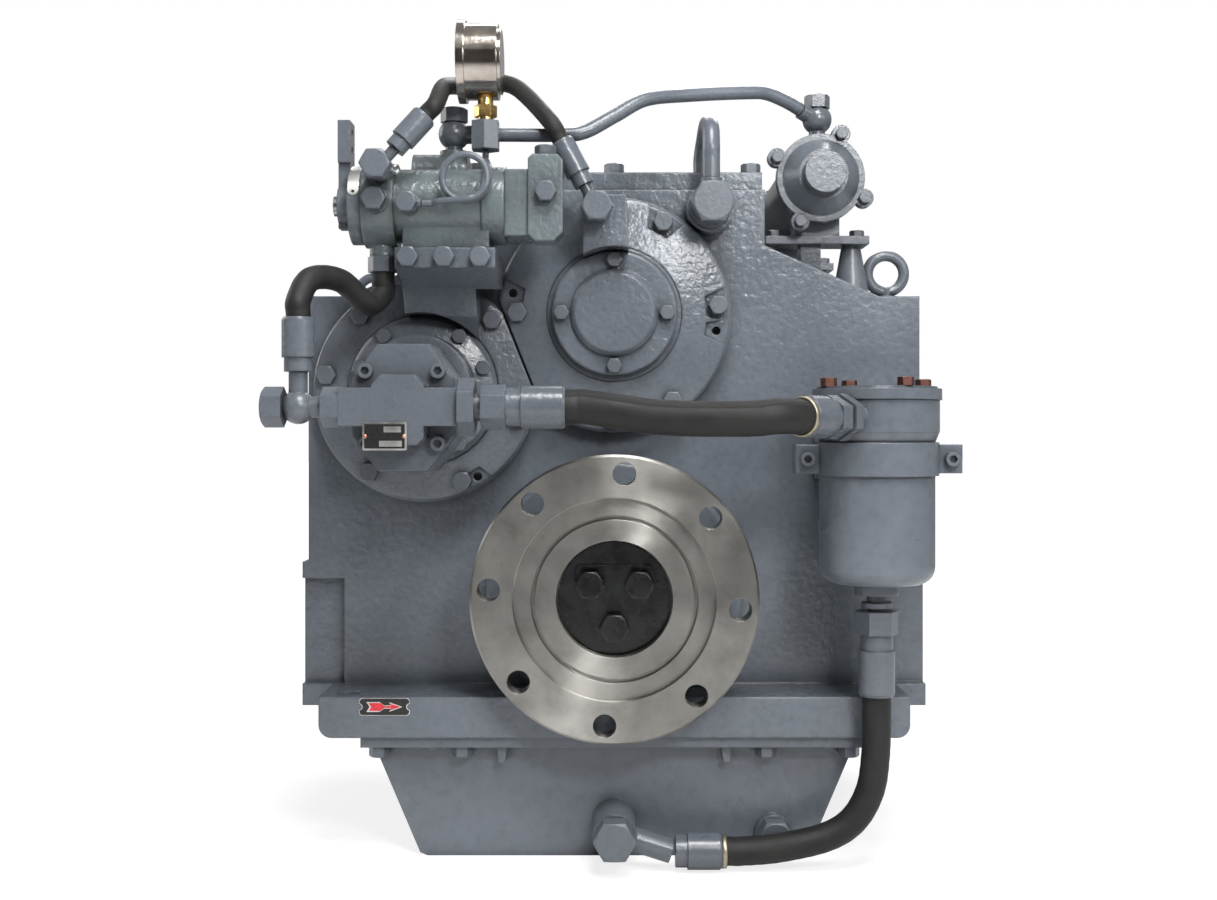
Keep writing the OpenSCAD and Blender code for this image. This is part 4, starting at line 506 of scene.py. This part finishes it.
def dishRing(name, dish, finish, body, around=360, across=9):
    # cone whose depth grows with radius; the rim draws in at each bolt seat and stops at the joint with the next cover
    turn = circle(around)
    (inner, nearY), (outer, farY) = dish["inner"], dish["outer"]
    fade = dishEdges["fade"]
    rim = np.full(around, outer)
    for seat, half in dish["seats"].items():
        off = np.abs((np.degrees(turn) - seat + 180) % 360 - 180)
        part = np.clip(((1 + fade) * half - off) / (fade * half), 0, 1)
        rim = np.minimum(rim, outer - (outer - dish["seatRadius"]) * part * part * (3 - 2 * part))
    if dish["chord"]:
        facing = np.maximum(np.cos(turn - np.radians(dish["chord"][1])), dishEdges["leastFacing"])
        rim = np.minimum(rim, dish["chord"][0] / facing)
    r = inner + (rim - inner) * np.linspace(0, 1, across)[:, None]
    y = nearY + (farY - nearY) * (r - inner) / (outer - inner)
    r = np.vstack([r, rim, np.full(around, inner)])
    y = np.vstack([y, np.full((2, around), dish["base"])])
    points = np.stack([dish["axis"][0] + r * np.cos(turn), y, dish["axis"][1] + r * np.sin(turn)], -1)
    piece = gridMesh(name, points / metre, finish, body, ringRows=True)
    piece.data.set_sharp_from_angle(angle=dishEdges["sharpFrom"])
    return piece
for name, dish in dishes.items():
    dishRing(name, dish, "capPaint", "housing")
print("dished covers made:", len(dishes))

def flatPiece(name, outline, face, back, finish, body):
    # prism: the outline in x and z at two depths, with side quads between and a face on each end
    o = np.asarray(outline, float)
    rows = np.stack([np.column_stack([o[:, 0], np.full(len(o), d), o[:, 1]]) for d in (back, face)])
    return gridMesh(name, rows / metre, finish, body, smooth=False)

# rotation arrow on the ledge: black plate with notched ends, red arrow with a pale edge
# arrows are length, tail, neck and head; depths are front and back from the plate's face
arrowPlate = {"middle": (-212.8, -103.0), "half": (23.0, 7.6), "notch": 3.2, "face": 34.2, "seat": 35.0,
              "edge": 0.5, "edgeNotch": 2.8, "edgeDrop": 0.4, "thick": 0.5,
              "paleArrow": (16.6, 4.6, 1.5, 4.6), "paleDepth": (-0.12, 0.1),
              "redArrow": (15.0, 3.7, 0.9, 3.3), "redDepth": (-0.22, 0.0), "redShift": (0.3, 0)}
def notchedOutline(half, notch, corner=3.0, biteShare=0.9, fine=10):
    # right side: a quarter circle at the corner, a half ellipse bitten out of the end, the corner mirrored
    # the left side is the right one turned half round
    turn = np.linspace(np.pi / 2, 0, fine)
    bite = np.linspace(np.pi / 2, 3 * np.pi / 2, fine)
    rightTop = np.array(half) - corner + corner * np.column_stack([np.cos(turn), np.sin(turn)])
    rightBite = np.column_stack([half[0] + notch * np.cos(bite) * biteShare, notch * np.sin(bite)])
    right = np.vstack([rightTop, rightBite, rightTop[::-1] * (1, -1)])
    return np.vstack([right, -right])
arrowShares = {"tailEnd": -0.25, "neckStart": -0.02, "neckEnd": 0.42, "barb": 0.25, "cut": -0.82}
def shaftArrow(length, tail, neck, head):
    # upper edge from a square tail over a thin neck to a swept head pointing to +x, mirrored below, swallow cut behind
    # places along it are shares of the half length
    tailEnd, neckStart, neckEnd, barb, cut = (length * share for share in arrowShares.values())
    upper = np.array([(-length, tail), (tailEnd, tail), (neckStart, neck), (neckEnd, neck), (barb, head)])
    return np.vstack([upper, [(length, 0)], upper[::-1] * (1, -1), [(cut, 0)]])
plateMid, plateHalf, face = np.array(arrowPlate["middle"]), np.array(arrowPlate["half"]), arrowPlate["face"]
rim = flatPiece("arrowPlateEdge", plateMid + notchedOutline(plateHalf + arrowPlate["edge"], arrowPlate["edgeNotch"]),
                face + arrowPlate["edgeDrop"], arrowPlate["seat"], "plateSilver", "housing")
field = flatPiece("arrowPlate", plateMid + notchedOutline(plateHalf, arrowPlate["notch"]),
                  face, face + arrowPlate["thick"], "plateBlack", "housing")
front, back = face + np.array(arrowPlate["paleDepth"])
edgeArrow = flatPiece("arrowEdge", plateMid + shaftArrow(*arrowPlate["paleArrow"]),
                      front, back, "plateSilver", "housing")
front, back = face + np.array(arrowPlate["redDepth"])
flatPiece("arrow", plateMid + arrowPlate["redShift"] + shaftArrow(*arrowPlate["redArrow"]),
          front, back, "arrowRed", "housing")

# bare plate on the pump: silver frame, black field, two empty boxes, copper rivets
# depths are front and back from the port block's face, boxes are place and half size
pumpPlate = {"middle": (-192.5, 147.5), "half": (18.5, 11.8), "frame": 1.6, "corner": 1.2, "frameDepth": (-0.9, 0.0),
             "fieldCorner": 0.6, "fieldDepth": (-1.0, -0.8), "boxCorner": 0.4, "boxDepth": (-1.1, -0.95),
             "boxes": [((6.5, 5.8), (7.2, 2.5)), ((5.0, -6.2), (9.5, 2.4))],
             "rivet": {"inset": 2.2, "depth": -0.85, "radius": 1.7, "height": 0.9}}
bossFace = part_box("pump_cover")[0][1] * metre
def rectOutline(half, corner, fine=6):
    # a quarter circle at each corner in turn, each a quarter turn on from the last
    turn = np.linspace(0, np.pi / 2, fine)
    parts = []
    for k, (sx, sz) in enumerate([(1, 1), (-1, 1), (-1, -1), (1, -1)]):
        at = turn + k * np.pi / 2
        middle = (sx * (half[0] - corner), sz * (half[1] - corner))
        parts.append(middle + corner * np.column_stack([np.cos(at), np.sin(at)]))
    return np.vstack(parts)
mid, half = np.array(pumpPlate["middle"]), np.array(pumpPlate["half"])
front, back = bossFace + np.array(pumpPlate["frameDepth"])
plateFrame = flatPiece("pumpPlate", mid + rectOutline(half, pumpPlate["corner"]), front, back, "plateSilver", "housing")
front, back = bossFace + np.array(pumpPlate["fieldDepth"])
plateField = flatPiece("pumpPlateField", mid + rectOutline(half - pumpPlate["frame"], pumpPlate["fieldCorner"]),
                       front, back, "plateBlack", "housing")
front, back = bossFace + np.array(pumpPlate["boxDepth"])
for k, (at, size) in enumerate(pumpPlate["boxes"]):
    box = flatPiece("pumpPlateBox%d" % k, mid + at + rectOutline(size, pumpPlate["boxCorner"]),
                    front, back, "plateSilver", "housing")

def rivetHead(name, x, z, face, radius, height, finish, body, around=20, rings=7):
    # dome: a quarter ellipse of radius and height turned about the shaft direction, closed by a small flat
    up = np.linspace(0, np.pi / 2, rings)[:-1, None]
    turn = circle(around)
    r = radius * np.cos(up)
    y = np.broadcast_to(face - height * np.sin(up), (rings - 1, around))
    pts = np.stack([x + r * np.cos(turn), y, z + r * np.sin(turn)], -1)
    return gridMesh(name, pts / metre, finish, body)
rivetSize = pumpPlate["rivet"]
for k, sx in enumerate((-1, 1)):
    rivet = rivetHead("pumpPlateRivet%d" % k, mid[0] + sx * (half[0] - rivetSize["inset"]), mid[1],
                      bossFace + rivetSize["depth"], rivetSize["radius"], rivetSize["height"], "rivetCopper", "housing")

# pale index plate bent round the rim of the valve's left cover, left without marks
indexPlate = {"radius": 35.0, "axis": (10.0, 356.0), "x": (-236.2, -226.4), "angle": (96.0, 173.0), "thick": 0.7,
              "sunk": 0.1, "rivet": {"angle": 167.0, "lift": 0.4, "radius": 1.5, "height": 1.0}}
def bentBand(name, band, finish, body, steps=90, leastSquare=0.02):
    # four-cornered section carried round the rim; its half width follows a half circle at the front end
    turn = np.radians(np.linspace(*band["angle"], steps))[:, None]
    middle, half = np.mean(band["x"]), np.ptp(band["x"]) / 2
    short = np.maximum(half - (turn[-1] - turn) * band["radius"], 0)
    wide = np.sqrt(np.maximum(half ** 2 - short ** 2, leastSquare))
    r = band["radius"] + np.array([band["thick"], band["thick"], -band["sunk"], -band["sunk"]])
    pts = np.stack([middle + wide * np.array([-1, 1, 1, -1]), band["axis"][0] + r * np.cos(turn),
                    band["axis"][1] + r * np.sin(turn)], -1)
    return gridMesh(name, pts / metre, finish, body, smooth=False)
bentBand("indexPlate", indexPlate, "plateSilver", "housing")
rivetSize = indexPlate["rivet"]
rivetTurn, rivetReach = np.radians(rivetSize["angle"]), indexPlate["radius"] + rivetSize["lift"]
rivetY = indexPlate["axis"][0] + rivetReach * np.cos(rivetTurn)
rivetZ = indexPlate["axis"][1] + rivetReach * np.sin(rivetTurn)
indexRivet = rivetHead("indexPlateRivet", np.mean(indexPlate["x"]), rivetZ, rivetY,
                       rivetSize["radius"], rivetSize["height"], "keeperSteel", "housing")

# gauge face behind the glass: white disc and a ring of ticks, every fifth one longer
# pairs of tick sizes are for long and short ticks
gaugeFace = {"axis": (10.0, 487.0), "x": (-126.0, -126.25, -126.3), "radii": (29.4, 29.4, 29.0), "ticks": 46,
             "sweep": (-45, 225), "longEvery": 5, "inner": (19.5, 22.5), "outer": 25.5, "halfWide": (0.55, 0.3),
             "tickX": -126.4, "tickDeep": 0.15}
def turnedDisc(name, xs, radii, axis, finish, body, around=64):
    # profile of depth and radius turned about the gauge's axis, with a flat face on each end
    turn = circle(around)
    x = np.broadcast_to(np.asarray(xs)[:, None], (len(xs), around))
    r = np.asarray(radii)[:, None]
    pts = np.stack([x, axis[0] + r * np.cos(turn), axis[1] + r * np.sin(turn)], -1)
    return gridMesh(name, pts / metre, finish, body, smooth=False)
turnedDisc("gaugeFace", gaugeFace["x"], gaugeFace["radii"], gaugeFace["axis"], "dialWhite", "housing")
# each tick is a box: four corners along and across its own direction, at two depths
ticks = gaugeFace["ticks"]
tickTurn = np.radians(np.linspace(*gaugeFace["sweep"], ticks))
isLong = np.arange(ticks) % gaugeFace["longEvery"] == 0
inner = np.where(isLong, *gaugeFace["inner"])[:, None]
wide = np.where(isLong, *gaugeFace["halfWide"])[:, None]
radialDir = np.stack([np.cos(tickTurn), np.sin(tickTurn)], -1)
sideways = np.stack([-np.sin(tickTurn), np.cos(tickTurn)], -1) * wide
near, far = radialDir * inner, radialDir * gaugeFace["outer"]
corners = np.stack([near - sideways, far - sideways, far + sideways, near + sideways], 1) + gaugeFace["axis"]
tickFront = np.concatenate([np.full((ticks, 4, 1), gaugeFace["tickX"]), corners], -1)
tickBack = tickFront + (gaugeFace["tickDeep"], 0, 0)
tickVerts = np.concatenate([tickFront, tickBack], 1).reshape(-1, 3) / metre
boxFaces = np.array([(0, 3, 2, 1), (4, 5, 6, 7), (0, 1, 5, 4), (1, 2, 6, 5), (2, 3, 7, 6), (3, 0, 4, 7)])
tickFaces = (boxFaces[None] + 8 * np.arange(ticks)[:, None, None]).reshape(-1, 4)
tickMesh = bpy.data.meshes.new("gaugeTicks")
tickMesh.from_pydata(tickVerts.tolist(), [], tickFaces.tolist())
tickMesh.materials.append(finishes["pointerBlack"])
tickObj = bpy.data.objects.new("gaugeTicks", tickMesh)
scene.collection.objects.link(tickObj)
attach(tickObj, "housing")
print("plates and gauge face made")

# brass crimp rims at the mouths of the larger hoses; the profile is out from the hose and along it
crimpRims = {
    "suctionRight": {"place": (159.0, -83.1, 164), "way": (-0.7071, -0.7071, 0), "hoseRadius": 15.0},
    "sumpLow": {"place": (97.6, 13, -230), "way": (1, 0, 0), "hoseRadius": 13.0},
}
crimpProfile = np.array([(0.15, 0), (1.9, 0), (2.3, 0.6), (2.3, 3.2), (1.7, 4.2), (0.15, 4.2)])
def crimpRing(name, rim, finish, body, around=48):
    # closed band profile turned about the hose's own direction
    way = np.array(rim["way"], float)
    across = unit(np.cross(way, (0.2, 0.9, 0.4)))
    up = np.cross(way, across)
    turn = circle(around)
    ring = np.cos(turn)[None, :, None] * across + np.sin(turn)[None, :, None] * up
    out, along = crimpProfile.T[..., None, None]
    pts = np.array(rim["place"]) + along * way + (rim["hoseRadius"] + out) * ring
    return gridMesh(name, pts / metre, finish, body, ringRows=True)
for name, crimp in crimpRims.items():
    crimpRing(name + "Rim", crimp, "paleBrass", "housing")
print("crimp rims made:", len(crimpRims))

# floor: it reads white to the camera, and near the object it keeps a soft part of the shadow
floorSetup = {"half": 20.0, "share": (0.66, 1.0), "fade": (0.6, 1.7), "glow": 1.2, "rough": 0.7, "cloud": (2.0, 2.0),
              "tones": [(0.3, (0.84, 0.84, 0.84)), (0.7, (0.88, 0.88, 0.88))]}
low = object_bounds()[0][2]
floorMat, floorTree, floorShader, floorPlace = startFinish("paleFloor")
floorCloud = noiseAt(floorTree, floorPlace, *floorSetup["cloud"])
floorTree.links.new(rampOf(floorTree, floorCloud, floorSetup["tones"]), floorShader.inputs["Base Color"])
floorShader.inputs["Roughness"].default_value = floorSetup["rough"]
floorRays = floorTree.nodes.new("ShaderNodeLightPath")
floorGlow = floorTree.nodes.new("ShaderNodeEmission")
floorGlow.inputs["Color"].default_value = (1, 1, 1, 1)
floorGlow.inputs["Strength"].default_value = floorSetup["glow"]
floorMix = floorTree.nodes.new("ShaderNodeMixShader")
floorFar = floorTree.nodes.new("ShaderNodeVectorMath")
floorFar.operation = "LENGTH"
floorTree.links.new(floorPlace, floorFar.inputs[0])
floorShare = spanOf(floorTree, floorFar.outputs["Value"], *floorSetup["share"], *floorSetup["fade"])
floorSeen = sumOf(floorTree, floorRays.outputs["Is Camera Ray"], floorShare, "MULTIPLY")
floorTree.links.new(floorSeen, floorMix.inputs[0])
floorTree.links.new(floorShader.outputs[0], floorMix.inputs[1])
floorTree.links.new(floorGlow.outputs[0], floorMix.inputs[2])
floorOut = next(n for n in floorTree.nodes if n.type == "OUTPUT_MATERIAL")
floorTree.links.new(floorMix.outputs[0], floorOut.inputs["Surface"])
span = np.linspace(-floorSetup["half"], floorSetup["half"], 3)
floorX, floorY = np.meshgrid(span, span)
floorPoints = np.stack([floorX, floorY, np.full_like(floorX, low)], -1)
floorQuads = [(0, 1, 4, 3), (1, 2, 5, 4), (3, 4, 7, 6), (4, 5, 8, 7)]
floorMesh = bpy.data.meshes.new("paleFloor")
floorMesh.from_pydata(floorPoints.reshape(-1, 3).tolist(), [], floorQuads)
floorMesh.materials.append(floorMat)
floorObj = bpy.data.objects.new("paleFloor", floorMesh)
scene.collection.objects.link(floorObj)

# dim card behind the camera, seen only by reflections, so bright metal has something dark to show
cardSetup = {"y": -2.6, "halfWidth": 2.6, "low": -1.2, "high": 1.7, "cloud": (1.5, 2.0),
             "tones": [(0.3, (0.05, 0.05, 0.05)), (0.7, (0.14, 0.135, 0.13))]}
cardMat, cardTree, cardShader, cardPlace = startFinish("dimCard")
cardCloud = noiseAt(cardTree, cardPlace, *cardSetup["cloud"])
cardTree.links.new(rampOf(cardTree, cardCloud, cardSetup["tones"]), cardShader.inputs["Base Color"])
cardMesh = bpy.data.meshes.new("dimCard")
w, y, a, b = (cardSetup[key] for key in ("halfWidth", "y", "low", "high"))
cardMesh.from_pydata([(-w, y, a), (w, y, a), (w, y, b), (-w, y, b)], [], [(0, 3, 2, 1)])
cardMesh.materials.append(cardMat)
cardObj = bpy.data.objects.new("dimCard", cardMesh)
scene.collection.objects.link(cardObj)
cardObj.visible_camera = cardObj.visible_diffuse = cardObj.visible_shadow = False

# white backdrop to the camera and through glass, dimmer in reflections, faint as a light
worldSetup = {"ambient": 0.08, "seen": 1.0, "mirrored": 0.36}
world = bpy.data.worlds.new("studio")
scene.world = world
world.use_nodes = True
wt = world.node_tree
backdrop = next(n for n in wt.nodes if n.type == "BACKGROUND")
backdrop.inputs[0].default_value = (1, 1, 1, 1)
rays = wt.nodes.new("ShaderNodeLightPath")
direct = sumOf(wt, rays.outputs["Is Camera Ray"], rays.outputs["Is Transmission Ray"], "MAXIMUM")
seen = spanOf(wt, direct, worldSetup["ambient"], worldSetup["seen"])
mirrored = spanOf(wt, rays.outputs["Is Glossy Ray"], 0.0, worldSetup["mirrored"])
wt.links.new(sumOf(wt, seen, mirrored, "MAXIMUM"), backdrop.inputs[1])

lampSetup = {
    "ceilingLamp": {"place": (0.2, -0.95, 1.75), "aim": (0, 0.1, 0.1), "size": 0.7, "power": 40.0},
    "glareLamp": {"place": (0.5, -1.4, 0.95), "aim": (0.06, 0.08, 0.32), "size": 0.34, "power": 16.0},
    "sideLamp": {"place": (1.15, -1.0, 0.7), "aim": (0.05, 0.1, 0.15), "size": 0.6, "power": 5.0},
    "fillLamp": {"place": (-1.3, -1.3, 0.6), "aim": (0, 0.1, 0.0), "size": 1.2, "power": 2.0},
    "backLamp": {"place": (0.3, 1.5, 1.75), "aim": (0, 0.3, 0.15), "size": 1.2, "power": 34.0},
    "leftLamp": {"place": (-1.6, 0.7, 0.9), "aim": (-0.2, 0.25, 0.1), "size": 1.0, "power": 11.0},
}
for name, lamp in lampSetup.items():
    data = bpy.data.lights.new(name, "AREA")
    data.size = lamp["size"]
    data.energy = lamp["power"]
    obj = bpy.data.objects.new(name, data)
    place, aim = np.array(lamp["place"]), np.array(lamp["aim"])
    obj.location = place
    ray = aim - place
    flat = np.hypot(ray[0], ray[1])
    obj.rotation_euler = (np.arctan2(flat, -ray[2]), 0, np.arctan2(ray[1], ray[0]) - np.pi / 2)
    scene.collection.objects.link(obj)
print("stage and lamps set")
